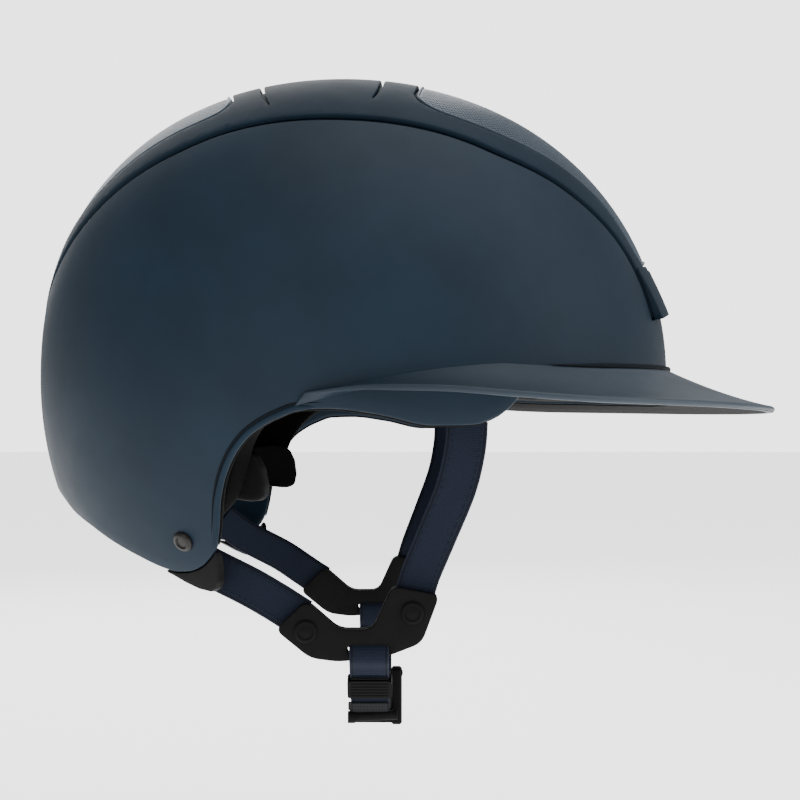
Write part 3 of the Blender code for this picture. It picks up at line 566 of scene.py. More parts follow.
def moulded(name, color, roughness, cell=1500.0, strength=0.30, **values):
    """Spark-textured plastic: pitted grain with slightly polished high spots."""
    look = Look(name, color, roughness, **values)
    where = look.coordinates()
    grain = look.cells(where, cell, Randomness=1.0)
    look.tone(look.noise(where, 60.0, 5.0), 0, (0.3, 0.85), (0.7, 1.18))
    look.gloss(grain, "Distance", roughness - 0.04, roughness + 0.10)
    wide = look.bump(look.noise(where, 300.0, 3.0), 0, 0.10, 0.0002)
    look.bump(grain, "Distance", strength, 0.00012, wide)
    return look.mat


def webbing(name, color, rib=0.00095, edge=0.0064):
    """Flat woven webbing. UV is metres: u across from the middle, v along."""
    look = Look(name, color, 0.82, Sheen_Weight=0.06, Sheen_Roughness=0.5,
                Sheen_Tint=(0.5, 0.6, 0.9, 1), Specular_IOR_Level=0.12)
    where = look.coordinates(uv=True)
    weft = look.wave(where, "Y", rib, Distortion=0.35, Detail=1.0, Detail_Scale=3.0)
    warp = look.wave(where, "X", rib * 0.72, Distortion=0.2)
    weave = look.combine("MULTIPLY", weft, "Fac", warp, "Fac")
    body = look.combine("ADD", weave, 0, look.noise(where, 1500.0, 3.0), 0)
    # Darker lines beside the selvedges, where the edge cord is woven in.
    split = look.node("ShaderNodeSeparateXYZ")
    look.link(where, 0, split, 0)
    across = look.node("ShaderNodeMath", operation="ABSOLUTE")
    look.link(split, "X", across, 0)
    line = look.node("ShaderNodeMath", operation="COMPARE")
    look.link(across, 0, line, 0)
    line.inputs[1].default_value = edge
    line.inputs[2].default_value = 0.00035
    tone = look.tone(body, 0, (0.25, 0.45), (0.8, 1), (1.3, 1.35))
    dark = look.node("ShaderNodeMix", data_type="RGBA")
    look.link(line, 0, dark, 0)
    look.link(tone, "Color", dark, MIX_A)
    dark.inputs[MIX_B].default_value = (*[c * 0.3 for c in color], 1)
    look.link(dark, MIX_COLOR, look.shader, "Base Color")
    look.bump(look.spread(body, 0, 0.0, 0.7), "Result", 0.45, 0.00022)
    return look.mat


def knit(name, color, pitch=0.0016):
    """Wicking knit over foam: offset rows of small dimples with a soft sheen."""
    look = Look(name, color, 0.92, Sheen_Weight=0.04, Sheen_Roughness=0.6,
                Specular_IOR_Level=0.04)
    where = look.coordinates()
    both = look.combine("ADD", look.cells(where, 1 / pitch, Randomness=0.15), "Distance",
                        look.noise(where, 1800.0, 3.0), 0)
    look.tone(both, 0, (0.35, 0.5), (1.0, 1.5))
    look.bump(both, 0, 0.8, 0.0004)
    return look.mat


def beaded(name, color):
    """Moulded foam: fused beads a few millimetres across."""
    look = Look(name, color, 0.90, Specular_IOR_Level=0.02)
    cells = look.cells(look.coordinates(), 700.0, Randomness=0.9, feature="DISTANCE_TO_EDGE")
    look.tone(cells, "Distance", (0.0, 0.75), (0.12, 1))
    rim = look.ramp(cells, "Distance", [(0.0, (0, 0, 0)), (0.10, (1, 1, 1))])
    look.bump(rim, "Color", 0.5, 0.00025)
    return look.mat


def brushed(name, color, roughness):
    look = Look(name, color, roughness, Metallic=1.0)
    lines = look.noise(look.coordinates((40, 1200, 1200)), 1.0, 4.0)
    look.gloss(lines, 0, roughness - 0.08, roughness + 0.12)
    look.bump(lines, 0, 0.25, 0.00005)
    return look.mat


NAVY = painted("shell_paint", (0.0052, 0.0125, 0.0215), 0.50, Specular_IOR_Level=0.12)
BAND = painted("band_paint", (0.0062, 0.0132, 0.0215), 0.54, Specular_IOR_Level=0.07)
# The brim's lighter tone is painted light falling on its top in front; towards the back it fades to
# the shell's own navy.
BRIM = painted("brim_paint", (0.0300, 0.0405, 0.0520), 0.48, Specular_IOR_Level=0.22,
               behind=((0.0052, 0.0122, 0.0208), 0.015, 0.125))
GRILLE = painted("grille_paint", (0.0150, 0.0300, 0.0480), 0.42, Specular_IOR_Level=0.45,
                 Metallic=0.15)
UNDER = moulded("underside", (0.0050, 0.0047, 0.0046), 0.80, 900.0, 0.35, Specular_IOR_Level=0.04)
# A darker navy than the shell's, for the floor of the band's groove: the darkening is painted shade
# in the groove.
GROOVE = moulded("groove", (0.0034, 0.0080, 0.0135), 0.60, Specular_IOR_Level=0.1)
# Near black, for tubes that are painted shadow in creases and grooves.
RECESS_SHADOW = moulded("recess_shadow", (0.0020, 0.0035, 0.0055), 0.60, Specular_IOR_Level=0.08)
BLACK = moulded("black_plastic", (0.0046, 0.0045, 0.0044), 0.55, Specular_IOR_Level=0.05)
# Black rubber, made darker than its own black as painted shade for the shaded inside of the shell.
RUBBER = moulded("soft_black", (0.0030, 0.0030, 0.0031), 0.66, 1100.0, Specular_IOR_Level=0.06)
STUD = painted("stud", (0.0080, 0.0066, 0.0058), 0.36, Specular_IOR_Level=0.22)
WEB = webbing("navy_webbing", (0.0046, 0.0070, 0.0145))
GREY_WEB = webbing("grey_webbing", (0.0100, 0.0102, 0.0104), rib=0.0016, edge=0.0070)
THREAD = webbing("thread", (0.0060, 0.0085, 0.0180), rib=0.0006)
# The pads' knit and the foam are black, made darker still as painted shade inside the shell.
KNIT = knit("pad_knit", (0.0040, 0.0040, 0.0042))
FOAM = beaded("foam", (0.0022, 0.0021, 0.0020))
STEEL = brushed("steel", (0.30, 0.29, 0.28), 0.35)


# ---- shell

def band_loop(shrink=0.0, steps=120):
    """Half outline of the crown band, front midline to rear midline, in degrees."""
    first, last = BAND_FIRST - (0.4 if shrink < 0 else 0), BAND_LAST - shrink * 0.8
    wide = smooth_between(BAND_HALF, first) - shrink
    made = [(first - BAND_BOW * (i / 24) ** 2, wide * i / 24) for i in range(24)]
    for i in range(steps + 1):
        t = (1 - cos(pi * i / steps)) / 2
        end = max(0.0, 2 * t - 1)
        at = first + (last - first) * t - BAND_BOW * (1 - t) ** 3
        made.append((at, (smooth_between(BAND_HALF, at) - shrink) * (1 - end ** 5) ** 0.2))
    return made


def window_loop(first, last, half, roundness, shrink=0.0, steps=60):
    """Outline of a crown window, in degrees, all round."""
    side = []
    for i in range(steps + 1):
        t = (1 - cos(pi * i / steps)) / 2
        at = first + (last - first) * t
        reach = (1 - abs((2 * t - 1) * 0.97) ** roundness) ** (1 / roundness)
        side.append((at, (smooth_between(half, at) - shrink) * reach))
    return side + [(at, -across) for at, across in reversed(side)]


def flat(loop):
    return [(along * DEGREE, across * DEGREE) for along, across in loop]


def on_crown(out):
    return lambda x, y, depth: crown(x / DEGREE, y / DEGREE, out - depth)


def both_sides(half_loop):
    return half_loop + [(a, -c) for a, c in reversed(half_loop[1:-1])]


def slot_loop(at, bend, steps=40):
    """Outline of a narrow slot across the crown, whose ends turn along the midline."""
    sides = ([], [])
    for i in range(steps + 1):
        share = 2 * i / steps - 1
        turned = at + bend * share_of(abs(share), 0.75, 1) ** 2
        wide = SLOT_WIDTH * (1 - abs(share) ** 12 * 0.9) / 2
        for side, sign in zip(sides, (-1, 1)):
            side.append((turned + sign * wide, SLOT_HALF * share))
    return sides[0] + sides[1][::-1]


def build_shell():
    """The painted shell: outer face, rounded lower rim and inner face, with the opening for
    the band turned in at its edge."""
    outline = [crown_angles(a, c) for a, c in band_loop(-1.1, 400)]
    outline[0] = (0.0, outline[0][1])
    # Columns: close together where the lower edge or the opening turns.
    steps = 1440
    places, weight = [180 * i / steps for i in range(steps + 1)], [0.0]
    low = [edge_at(place) for place in places]

    def top_rise(azimuth):
        for (a, ra), (b, rb) in zip(outline, outline[1:]):
            if a <= azimuth <= b and b > a:
                return ra + (rb - ra) * (azimuth - a) / (b - a)
        return outline[-1][1]
    high = [dome(radians(p), top_rise(radians(p))) for p in places]
    for i in range(steps):
        weight.append(weight[-1] + (low[i + 1] - low[i]).length + (high[i + 1] - high[i]).length)
    half_count, rows, i = 230, 34, 0
    azimuths = []
    for k in range(half_count + 1):
        want = weight[-1] * k / half_count
        while i < steps - 1 and weight[i + 1] < want:
            i += 1
        t = min(1.0, (want - weight[i]) / max(1e-12, weight[i + 1] - weight[i]))
        azimuths.append(radians(places[i] + t * (places[i + 1] - places[i])))
    azimuths[0], azimuths[-1] = 0.0, pi
    bottoms = [rise_of(a, smooth_between(SHELL_EDGE, degrees(a))) for a in azimuths]
    tops = [top_rise(a) for a in azimuths]
    rim_r, top_r, wall = 0.0009, 0.0005, SHELL_WALL

    def rim_frame(rises, k):
        """A rim's point, with its directions outward and up along the shell."""
        ends = [dome(azimuths[j], rises[j]) for j in (max(k - 1, 0), min(k + 1, half_count))]
        out = dome_normal(azimuths[k], rises[k])
        up = out.cross(ends[1] - ends[0]).normalized()
        if k in (0, half_count):
            up.y = 0
        return dome(azimuths[k], rises[k]), out, up

    columns = []
    for k, a in enumerate(azimuths):
        foot, foot_n, up = rim_frame(bottoms, k)
        head, head_n, head_up = rim_frame(tops, k)
        span = tops[k] - bottoms[k]
        lift = min(RIM_TURN, span * 0.3)
        column = [dome(a, tops[k] - 0.01 + (lift - span + 0.01) * i / 8, -wall)
                  for i in range(9)]
        column += [foot + up * rim_r * share * 1.2 - foot_n * (wall - rim_r * (1 - share) ** 2)
                   for share in (1.0, 0.45, 0.12)]
        column += [foot - foot_n * (wall - rim_r), foot - foot_n * rim_r]
        column += [foot + up * rim_r * share - foot_n * rim_r * depth
                   for share, depth in reversed(ROUND[:3])]
        column += [dome(a, bottoms[k] + lift + (span - lift - 0.008) * i / (rows - 1))
                   for i in range(rows)]
        column += [head - head_up * top_r * share - head_n * top_r * depth
                   for share, depth in ROUND]
        columns.append(column + [head - head_n * 0.0032])
    ring = columns + [[on_side(p, -1) for p in column] for column in reversed(columns[1:-1])]
    finish_piece("shell", tidy(rows_to_bmesh(ring, False, True)), NAVY,
                 replaces=("outer_shell",), sharp=50)


def build_crown():
    # The groove's floor takes the darker navy, painted shade under the band's edge.
    opening = flat(both_sides(band_loop(-1.7)))
    floor = sheet_mesh(opening, [], on_crown(-0.0021), 0.0010, 0.05, 4.0, pitch=3.0)
    finish_piece("band_recess_floor", floor, GROOVE)
    windows = [window_loop(*window) for window in GRILLES.values()]
    windows += [slot_loop(*slot) for slot in SLOTS]
    bm = sheet_mesh(flat(both_sides(band_loop(0.7))), [flat(loop) for loop in windows],
                    on_crown(0.0003), 0.0019, 0.5, 2.6, pitch=1.6)
    finish_piece("band", bm, BAND, replaces=("crown_band",), sharp=60)
    for name, (first, last, half, roundness) in GRILLES.items():
        loop = flat(window_loop(first + 0.5, last - 0.5, half, roundness, 0.45))
        border = even_loop(offset_loop(even_loop(loop, 2.0), -2.2), 2.0)
        pitch, size, holes = 1.8, 0.50, []
        for row in range(-64, 65):
            y = row * pitch * 0.866
            for column in range(int(first * DEGREE / pitch), int(last * DEGREE / pitch) + 1):
                x = (column + 0.5 * (row % 2)) * pitch
                if inside(border, x, y):
                    holes.append([(x + size * c, y + size * s)
                                  for c, s in circle(6, pi / 6)])
        bm = sheet_mesh(loop, [], on_crown(-0.0003), 0.0009, 0.25, 2.0, holes, pitch=1.5)
        finish_piece(name + "_mesh", bm, GRILLE, replaces=(name,), sharp=50)
        # A thin sewn welt borders the mesh inside the window.
        welt = even_loop(offset_loop(even_loop(loop, 1.2), -0.7), 1.2)
        points = [on_crown(-0.0001)(x, y, 0.0) for x, y in welt]
        rows = []
        for i, here in enumerate(points):
            run = (points[(i + 1) % len(points)] - points[i - 1]).normalized()
            out = (here - Vector((DOME_X, 0, DOME_Z))).normalized()
            side = run.cross(out).normalized()
            size = 0.00042 if i % 2 else 0.00052
            rows.append([here + (side * c + out * s) * size for c, s in circle(6)])
        finish_piece(name + "_welt", tidy(rows_to_bmesh(rows, closed_along=True)), GRILLE)


def build_badge():
    """Plain wedge over the band's front end, proud at its lower edge."""
    def place(u, v, depth):
        w = 2 * u - 1
        low_at = BAND_FIRST - 0.5 - BAND_BOW * w * w
        at = low_at + (BADGE_TOP + 1.3 * w * w - low_at) * v
        lift = 0.0009 + 0.0028 * (1 - v) ** 1.2
        half = smooth_between(BAND_HALF, at) - 0.3
        return crown(at, half * w, lift * (1 - depth) + 0.0004 * depth)

    def put(x, y, depth):
        spot = share_of(x, 0, BADGE_WIDE), share_of(y, 0, BADGE_HIGH)
        outer, inner = place(*spot, 0.0), place(*spot, 1.0)
        thick = max((outer - inner).length, 0.0006)
        return outer.lerp(inner, min(1.0, depth / thick))
    outline = rounded(corners((0.0, 0.0), (BADGE_WIDE, BADGE_HIGH)), 2.0, 6)
    bm = sheet_mesh(outline, [], put, 0.0060, 0.45, 1.6, pitch=1.2)
    finish_piece("badge", bm, BAND, replaces=("front_badge",), sharp=60)


# ---- brim

def brim_outline(turn, inset=0.0):
    t = radians(turn)
    length = BRIM_FRONT if abs(turn) <= 90 else BRIM_REAR
    x = BRIM_X + (length - inset) * cos(t)
    y = (BRIM_HALF_WIDTH - inset) * sin(t)
    return Vector((x, y, smooth_between(BRIM_LINE, x)))


def brim_root(turn):
    edge = brim_outline(turn)
    azimuth = atan2(edge.y, edge.x - DOME_X)
    return azimuth * (1 - 0.02 * sin(2 * abs(azimuth)))


def brim_point(turn, t, drop_by=0.0):
    """The brim's upper face, from the shell at t = 0 to the lip at t = 1."""
    azimuth = brim_root(turn)
    place = abs(degrees(azimuth))
    top = (BRIM_TOP_Z - 0.002 * share_of(place, 0, 50) + 0.0025 * share_of(place, 56, 96)
           - 0.0115 * share_of(abs(turn), ROOT_DROPS, BRIM_END) ** 1.4)
    near_end = share_of(abs(turn), END_CLOSES, BRIM_END) ** 2
    start = dome_at(azimuth, top - 0.0030 * near_end, 0.0004 - 0.0012 * near_end)
    edge = brim_outline(turn) + Vector((0, 0, LIP_TOP))
    if abs(turn) > END_CLOSES:
        away = dome_at(azimuth, edge.z, 0.0022 - 0.0032 * near_end)
        if away.xy.length > edge.xy.length:
            edge.x, edge.y = away.x, away.y
    run = edge - start
    hollow = 0.03 + 0.07 * share_of(abs(turn), 0, 60)
    sag = Vector((0, 0, -hollow * (run.xy.length + max(0.0, start.z - edge.z))))
    middle = (start + edge) / 2 + sag
    point = start * (1 - t) ** 2 + middle * 2 * t * (1 - t) + edge * t * t
    return point - Vector((0, 0, drop_by))


def build_brim():
    """Swept brim: rolled root, hollow top, rounded lip and a flat return below."""
    sections = 200
    rows = []
    for i in range(sections + 1):
        turn = -BRIM_END + 2 * BRIM_END * i / sections
        azimuth = brim_root(turn)
        away = flat_direction(azimuth)
        # The seam along the shell is open in front and closes over the temples.
        seam = share_of(abs(turn), 77, 61)
        root = brim_point(turn, 0.0)
        row = [root - Vector((0, 0, 0.0012 + 0.0006 * seam)) + away * 0.0002 * seam,
               root - Vector((0, 0, 0.0006 * seam)) + away * 0.0003 * seam,
               root + away * 0.0009 * seam - Vector((0, 0, 0.0001 * seam))]
        row += [brim_point(turn, 0.03 + 0.93 * j / 17) for j in range(18)]
        thick = BRIM_LIP * (1 - 0.75 * share_of(abs(turn), LIP_THINS, BRIM_END) ** 1.5)
        lip = brim_outline(turn) + Vector((0, 0, LIP_TOP - thick / 2))
        if abs(turn) > LIP_THINS:
            lip = brim_point(turn, 1.0, thick / 2)
        shoulder = row[-1]
        outward = lip - shoulder
        outward.z = 0
        half = thick / 2
        inner = shoulder - Vector((0, 0, thick))
        centre = Vector((shoulder.x, shoulder.y, lip.z))
        reach = outward.length
        outward = outward.normalized()
        for j in range(1, 12):
            a = pi * j / 12
            high = half * cos(a) + (shoulder.z - lip.z - half) * (1 - j / 12)
            row.append(centre + outward * reach * sin(a) ** 0.8 + Vector((0, 0, high)))
        inner_low = dome_at(azimuth, min(root.z - 0.003, lip.z + 0.0030), 0.0004)
        inner.z = min(inner.z, lip.z - half * 0.98)
        rows.append(row + [inner.lerp(inner_low, j / 8) for j in range(9)])
    finish_piece("brim_body", tidy(rows_to_bmesh(rows, caps=True)), BRIM,
                 replaces=("brim",), sharp=55)
    # A near-black tube laid in the seam between the brim's root and the shell in front is painted
    # shadow in that crease.
    turns = [SEAM_SHADOW_REACH * (i / 80 - 1) for i in range(161)]
    seam = [brim_point(turn, 0.0) + flat_direction(brim_root(turn), 0.8) * 0.0004
            for turn in turns]
    finish_piece("brim_seam_shadow", tube(seam, fade_in(0.0010, 0.15, 9), 10), RECESS_SHADOW,
                 sharp=60)
    rows = []
    for i in range(121):
        turn = LINING_REACH * (i / 60 - 1)
        lip = brim_outline(turn, 0.0005)
        inner = dome_at(brim_root(turn), lip.z + 0.0034, 0.0012)
        outer = Vector((lip.x, lip.y, lip.z + LIP_TOP - BRIM_LIP))
        top = [inner.lerp(outer, j / 10) + Vector((0, 0, 0.00005 * j)) for j in range(11)]
        low = [p - Vector((0, 0, 0.0012 * min(1.0, 0.25 + 3.0 * min(j, 10 - j) / 10)))
               for j, p in enumerate(top)]
        rows.append(top + low[::-1])
    finish_piece("brim_lining", tidy(rows_to_bmesh(rows, caps=True)), UNDER,
                 replaces=("brim_underside",), sharp=45)


# ---- ears and corners

def build_ear_trim(side, label):
    span, count = EAR_LAST - EAR_FIRST, 260
    path = [edge_at(EAR_FIRST + span * i / count, -SHELL_WALL / 2) for i in range(count + 1)]
    made, rim, groove = [], [], []
    for i, point in enumerate(path):
        ahead = path[min(i + 1, count)] - path[max(i - 1, 0)]
        out = Vector((point.x / SHELL_FRONT ** 2, point.y / SHELL_HALF_WIDTH ** 2,
                      (point.z - DOME_Z) / DEPTH_SIDE ** 2)).normalized()
        down = ahead.cross(out).normalized()
        if down.z > 0 and abs(down.z) > 0.3 or (abs(down.z) <= 0.3 and down.x < 0):
            down = -down
        for line, depth, drop_to in ((made, -SHELL_WALL * 0.6, 0.0001), (rim, -0.0006, -0.0008),
                                     (groove, -0.0001, -0.0023)):
            spot = edge_at(EAR_FIRST + span * i / count, depth) + down * drop_to
            line.append(on_side(spot, side))
    behind = int(count * (EAR_BEAD_FIRST - EAR_FIRST) / span)
    # The third line, a thin near-black tube just above the bead, is painted shadow in the groove
    # there.
    for name, line, radius, sides, look, node in (
            ("ear_gasket_", made, fade_in(0.0007, 0.35, 14), 12, RUBBER, ("ear_trim_" + label,)),
            ("ear_bead_", rim[behind:], fade_in(0.00125, 0.1, 5, 1.1), 14, BAND, ()),
            ("ear_shadow_line_", groove[behind:], fade_in(0.0006, 0.05, 4), 8, RECESS_SHADOW, ())):
        finish_piece(name + label, tube(line, radius, sides), look,
                     replaces=node, sharp=60)


def on_dome(side, out):
    """Puts a loop laid out by azimuth and height, in millimetres, near the lower edge."""
    def place(x, y, depth):
        azimuth = radians(x / RIM_DEGREE)
        rise = rise_of(azimuth, y * 1e-3, out - depth)
        return on_side(dome(azimuth, rise, out - depth), side)
    return place


def build_rear_anchor(side, label):
    upper = [(p * RIM_DEGREE, smooth_between(SHELL_EDGE, p) * 1e3 - 0.15)
             for p in (129.4, 127.0, 124.0, 121.0, 119.0, 117.5, 116.4, 115.7)]
    lobe = [(231.2, -55.0), (232.6, -59.5), (235.4, -64.8), (238.5, -67.6), (242.0, -68.9),
            (247.0, -68.0), (252.0, -65.8), (256.5, -63.2), (259.2, -61.9)]
    bm = sheet_mesh(upper + lobe, [], on_dome(side, -0.0002), 0.0032, 0.5, 1.6, pitch=0.7)
    finish_piece("anchor_" + label, bm, BLACK,
                 replaces=("rear_anchor_" + label,), sharp=60)
    centre, inner = (on_side(dome_at(radians(RIVET_AT), RIVET_Z, out), side)
                     for out in (0.0, -0.01))
    profile = [(0.0000, -0.0004), (0.0039, -0.0004), (0.0040, 0.0006), (0.0037, 0.0012),
               (0.0030, 0.0016), (0.0024, 0.0017), (0.0022, 0.0014), (0.0020, 0.0011),
               (0.0008, 0.0012), (0.0, 0.0012)]
    finish_piece("rivet_" + label, lathe(profile, centre, centre - inner), STUD,
                 replaces=("rear_rivet_" + label,), sharp=50)


def build_front_anchor(side, label):
    low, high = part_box("front_anchor_" + label)
    ends = sorted((side * 0.0868, side * 0.0892))
    bar = block((low.x - 0.001, ends[0], low.z + 0.0018),
                (high.x + 0.001, ends[1], low.z + 0.0034), 0.0005)
    finish_piece("strap_hook_" + label, join(block(low, high, 0.0005), bar), BLACK,
                 replaces=("front_anchor_" + label,))


# ---- liner and pads

def build_liner():
    count, rows, columns = 150, 18, []
    inner, outer = -FOAM_OUTER - FOAM_WALL, -FOAM_OUTER
    for k in range(count + 1):
        a = pi * k / count
        bottom = rise_of(a, smooth_between(FOAM_EDGE, degrees(a)), -FOAM_OUTER)
        span = pi / 2 - 0.05 - bottom
        column = [dome(a, pi / 2 - 0.015 - span * i / rows, outer) for i in range(rows)]
        for step in range(9):
            turn = pi * step / 8
            level = (outer + inner) / 2 + (outer - inner) / 2 * power(cos(turn), 0.5)
            soft = 0.035 * (1 - power(sin(turn), 0.5))
            column.append(dome(a, bottom + soft, level))
        for i in range(1, rows + 1):
            t = i / rows
            # Air channels run up the inside, between the pads.
            channel = max(0.0, cos(6 * a)) ** 8 * sin(pi * min(1, t * 1.1)) ** 2
            column.append(dome(a, bottom + 0.035 + span * t, inner + 0.003 * channel))
        columns.append(column)
    ring = columns + [[on_side(p, -1) for p in column] for column in reversed(columns[1:-1])]
    finish_piece("liner", tidy(rows_to_bmesh(ring, False, True), fill=True), FOAM,
                 replaces=("foam_liner",), sharp=60)


def soft_form(place, across, along, seams):
    """A crowned pad: a rounded rectangle that is full in the middle and pulled in at its
    edges and seams. place(u, v, depth) has depth 0 at the back and 1 at the front."""
    bm = bmesh.new()
    front, back = [], []
    for j in range(along + 1):
        front.append([])
        back.append([])
        for i in range(across + 1):
            u, v = 2 * i / across - 1, 2 * j / along - 1
            # The square's corners are drawn in to a rounded outline.
            corner = (abs(u) ** 4 + abs(v) ** 4) / 2
            su, sv = u * (1 - 0.07 * corner * abs(v) ** 2), v * (1 - 0.10 * corner * abs(u) ** 2)
            edge = (1 - abs(u) ** 5) * (1 - abs(v) ** 4)
            full = edge ** 0.45 * (0.86 + 0.14 * (1 - u * u) * (1 - v * v))
            for axis, middle, deep, wide in seams:
                gap = (su if axis == "u" else sv) - middle
                full *= 1 - deep * exp(-(gap / wide) ** 2)
            spots = (0.5 + su / 2, 0.5 + sv / 2)
            front[-1].append(bm.verts.new(place(*spots, 0.12 + 0.88 * full)))
            back[-1].append(bm.verts.new(place(*spots, 0.12 * (1 - min(1, edge * 3)))))
    ring = []
    for layer in (front, back):
        for a, b in zip(layer, layer[1:]):
            quads(bm, a, b, flip=layer is back)
        ring.append(layer[0] + [row[-1] for row in layer[1:]] + layer[-1][-2::-1]
                    + [row[0] for row in layer[-2:0:-1]])
    quads(bm, ring[0], ring[1], True)
    return tidy(bm, 1e-8)


def cushion(name, node, form, body=SHELL, sharp=180):
    piece = finish_piece(name, form, KNIT, body, (node,), sharp)


def dome_pad(name, node, azimuths, heights, thick, seams, across=48):
    """A pad on the liner's inner face, between two azimuths and two heights."""
    def place(u, v, depth):
        azimuth = radians(azimuths[0] + (azimuths[1] - azimuths[0]) * u)
        z = heights[0] + (heights[1] - heights[0]) * v
        return dome(azimuth, rise_of(azimuth, z, -PAD_OUTER), -PAD_OUTER - thick * depth)
    cushion(name, node, soft_form(place, across, 24, seams))


def build_pads():
    quilt = [("u", x / 4, 0.30, 0.035) for x in range(-3, 4)]
    dome_pad("brow_cushion", "brow_pad", (-52, 52), (0.004, 0.040), 0.0085, quilt, 96)
    for side, label in SIDES:
        for name, places, heights, wide in (("side", (62, 104), (0.006, 0.060), 0.05),
                                            ("rear", (112, 146), (-0.006, 0.052), 0.06)):
            dome_pad(f"{name}_cushion_{label}", f"{name}_pad_{label}",
                     [side * place for place in places], heights, 0.0070,
                     [("u", 0.0, 0.35, wide), ("v", 0.0, 0.30, 0.05)])

    def crown_place(u, v, depth):
        return crown(45 + 90 * u, -38 + 76 * v, -PAD_OUTER - 0.0080 * depth)
    quilt = [(axis, by * sign, 0.3, 0.04) for axis, by in (("u", 0.45), ("v", 0.4))
             for sign in (-1, 1)]
    cushion("crown_cushion", "crown_pad", soft_form(crown_place, 60, 48, quilt))
    low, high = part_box("crown_disc")
    profile = [(0.0, 0.0072), (0.0262, 0.0072), (0.0276, 0.0050), (0.0280, 0.0020),
               (0.0272, 0.0006), (0.0255, 0.0), (0.0180, 0.0), (0.0174, 0.0003),
               (0.0168, 0.0), (0.0, 0.0)]
    bm = lathe(profile, ((low.x + high.x) / 2, 0, low.z), (0, 0, 1), 64)
    cushion("crown_button", "crown_disc", bm, sharp=60)


# ---- nape cradle

def build_cradle():
    for node in ("cradle_housing", "height_tab", "height_hanger"):
        soften(node, BLACK, 0.0004)
    low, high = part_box("cradle_pad")

    def place(u, v, depth):
        return Vector((low.x + (high.x - low.x) * depth, low.y + (high.y - low.y) * u,
                       low.z + (high.z - low.z) * v))
    cushion("nape_cushion", "cradle_pad", soft_form(place, 40, 24, [("u", 0, 0.35, 0.06)]),
            "cradle")
    # The dial: a grooved rim round a dished face.
    low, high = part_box("nape_dial")
    rows, sides = [], 160
    thick = high.x - low.x
    for radius, depth in ((0.0, 0.0012), (0.0070, 0.0012), (0.0084, 0.0004), (0.0098, 0.0),
                          (0.0118, 0.0002), (0.0127, 0.0012), (0.0128, 0.0025),
                          (0.0128, thick - 0.0008), (0.0120, thick), (0.0, thick)):
        rows.append([])
        for i, (c, s) in enumerate(circle(sides)):
            grip = (0.5 + 0.5 * cos(40 * pi * i / sides)) ** 3
            r = radius - (0.0005 * grip if radius > 0.0115 else 0.0)
            rows[-1].append(Vector((low.x + depth, r * c, NAPE_Z + r * s)))
    finish_piece("dial_knob", tidy(rows_to_bmesh(rows), 1e-6), BLACK,
                 "nape_dial", ("nape_dial",), sharp=50)
    for node in ("dial_shaft", "dial_pinion"):
        soften(node, STEEL, 0.0001)
    for side, label in SIDES:
        build_wing(side, label)


def build_wing(side, label):
    """Flexible arm with a finger-like padded lobe, and its toothed rack."""
    level = -side  # the right rack runs above the pinion, and the left one below it
    def middle(t):
        return NAPE_Z + 0.004 + 0.002 * sin(pi * t) + 0.003 * t

    def half(t):
        body = 0.0085 + 0.0035 * smooth_between([(0, 0), (0.6, 0), (1, 1)], t)
        blunt = 3.0 if t > 0.5 else 7.0
        return body * (1 - abs(2 * t - 1) ** blunt ** 1.6 * 0.98) ** (1 / blunt)
    loop = []
    for sign in (1, -1):
        for i in range(41):
            t = i / 40 if sign > 0 else 1 - i / 40
            place = WING_REAR + (WING_FRONT - WING_REAR) * t
            loop.append((place * RIM_DEGREE, (middle(t) + sign * half(t)) * 1e3))
    slots = [rounded(corners((x, -32.2), (x + 6, -29.0)), 1.4) for x in (240, 249, 258)]
    bm = sheet_mesh(loop, slots, on_dome(side, -0.0266), 0.0042, 1.1, 1.8, pitch=1.0,
                    back_edge=0.6)
    rack_z = NAPE_Z + level * (PINION_R + 0.0012)
    ends = sorted((side * 0.0440, side * -0.0120))
    rack = block((NAPE_X - 0.0018, ends[0], rack_z - 0.0014),
                 (NAPE_X + 0.0018, ends[1], rack_z + 0.0014), 0.0003)
    ends = sorted((side * 0.0375, side * 0.0455))
    root = block((NAPE_X - 0.0018, ends[0], min(rack_z, NAPE_Z) - 0.0014),
                 (NAPE_X + 0.0180, ends[1], max(rack_z, NAPE_Z) + 0.0014), 0.0005)
    # The teeth keep the pinion's pitch at the racks' own speed, and clear its valleys.
    pitch = 2 * pi * PINION_R / PINION_TEETH
    heights = sorted((rack_z - level * 0.0010, rack_z - level * 0.00205))
    teeth = [block((NAPE_X - 0.0016, side * pitch * k - 0.00035, heights[0]),
                   (NAPE_X + 0.0016, side * pitch * k + 0.00035, heights[1]), 0.0001, 1)
             for k in range(-4, 14)]
    finish_piece("nape_wing_" + label, join(bm, rack, root, *teeth), RUBBER,
                 "wing_" + label, ("wing_" + label,), sharp=50)


# ---- harness

def soften(node, look, width):
    """Keeps a CAD node, with softer edges and a finished material."""
    obj = NODES[node]
    obj.data.materials.clear()
    obj.data.materials.append(look)
    edge = obj.modifiers.new("softened", "BEVEL")
    edge.width, edge.segments, edge.limit_method = width, 3, "ANGLE"
    edge.angle_limit = radians(30)
    edge.harden_normals = True


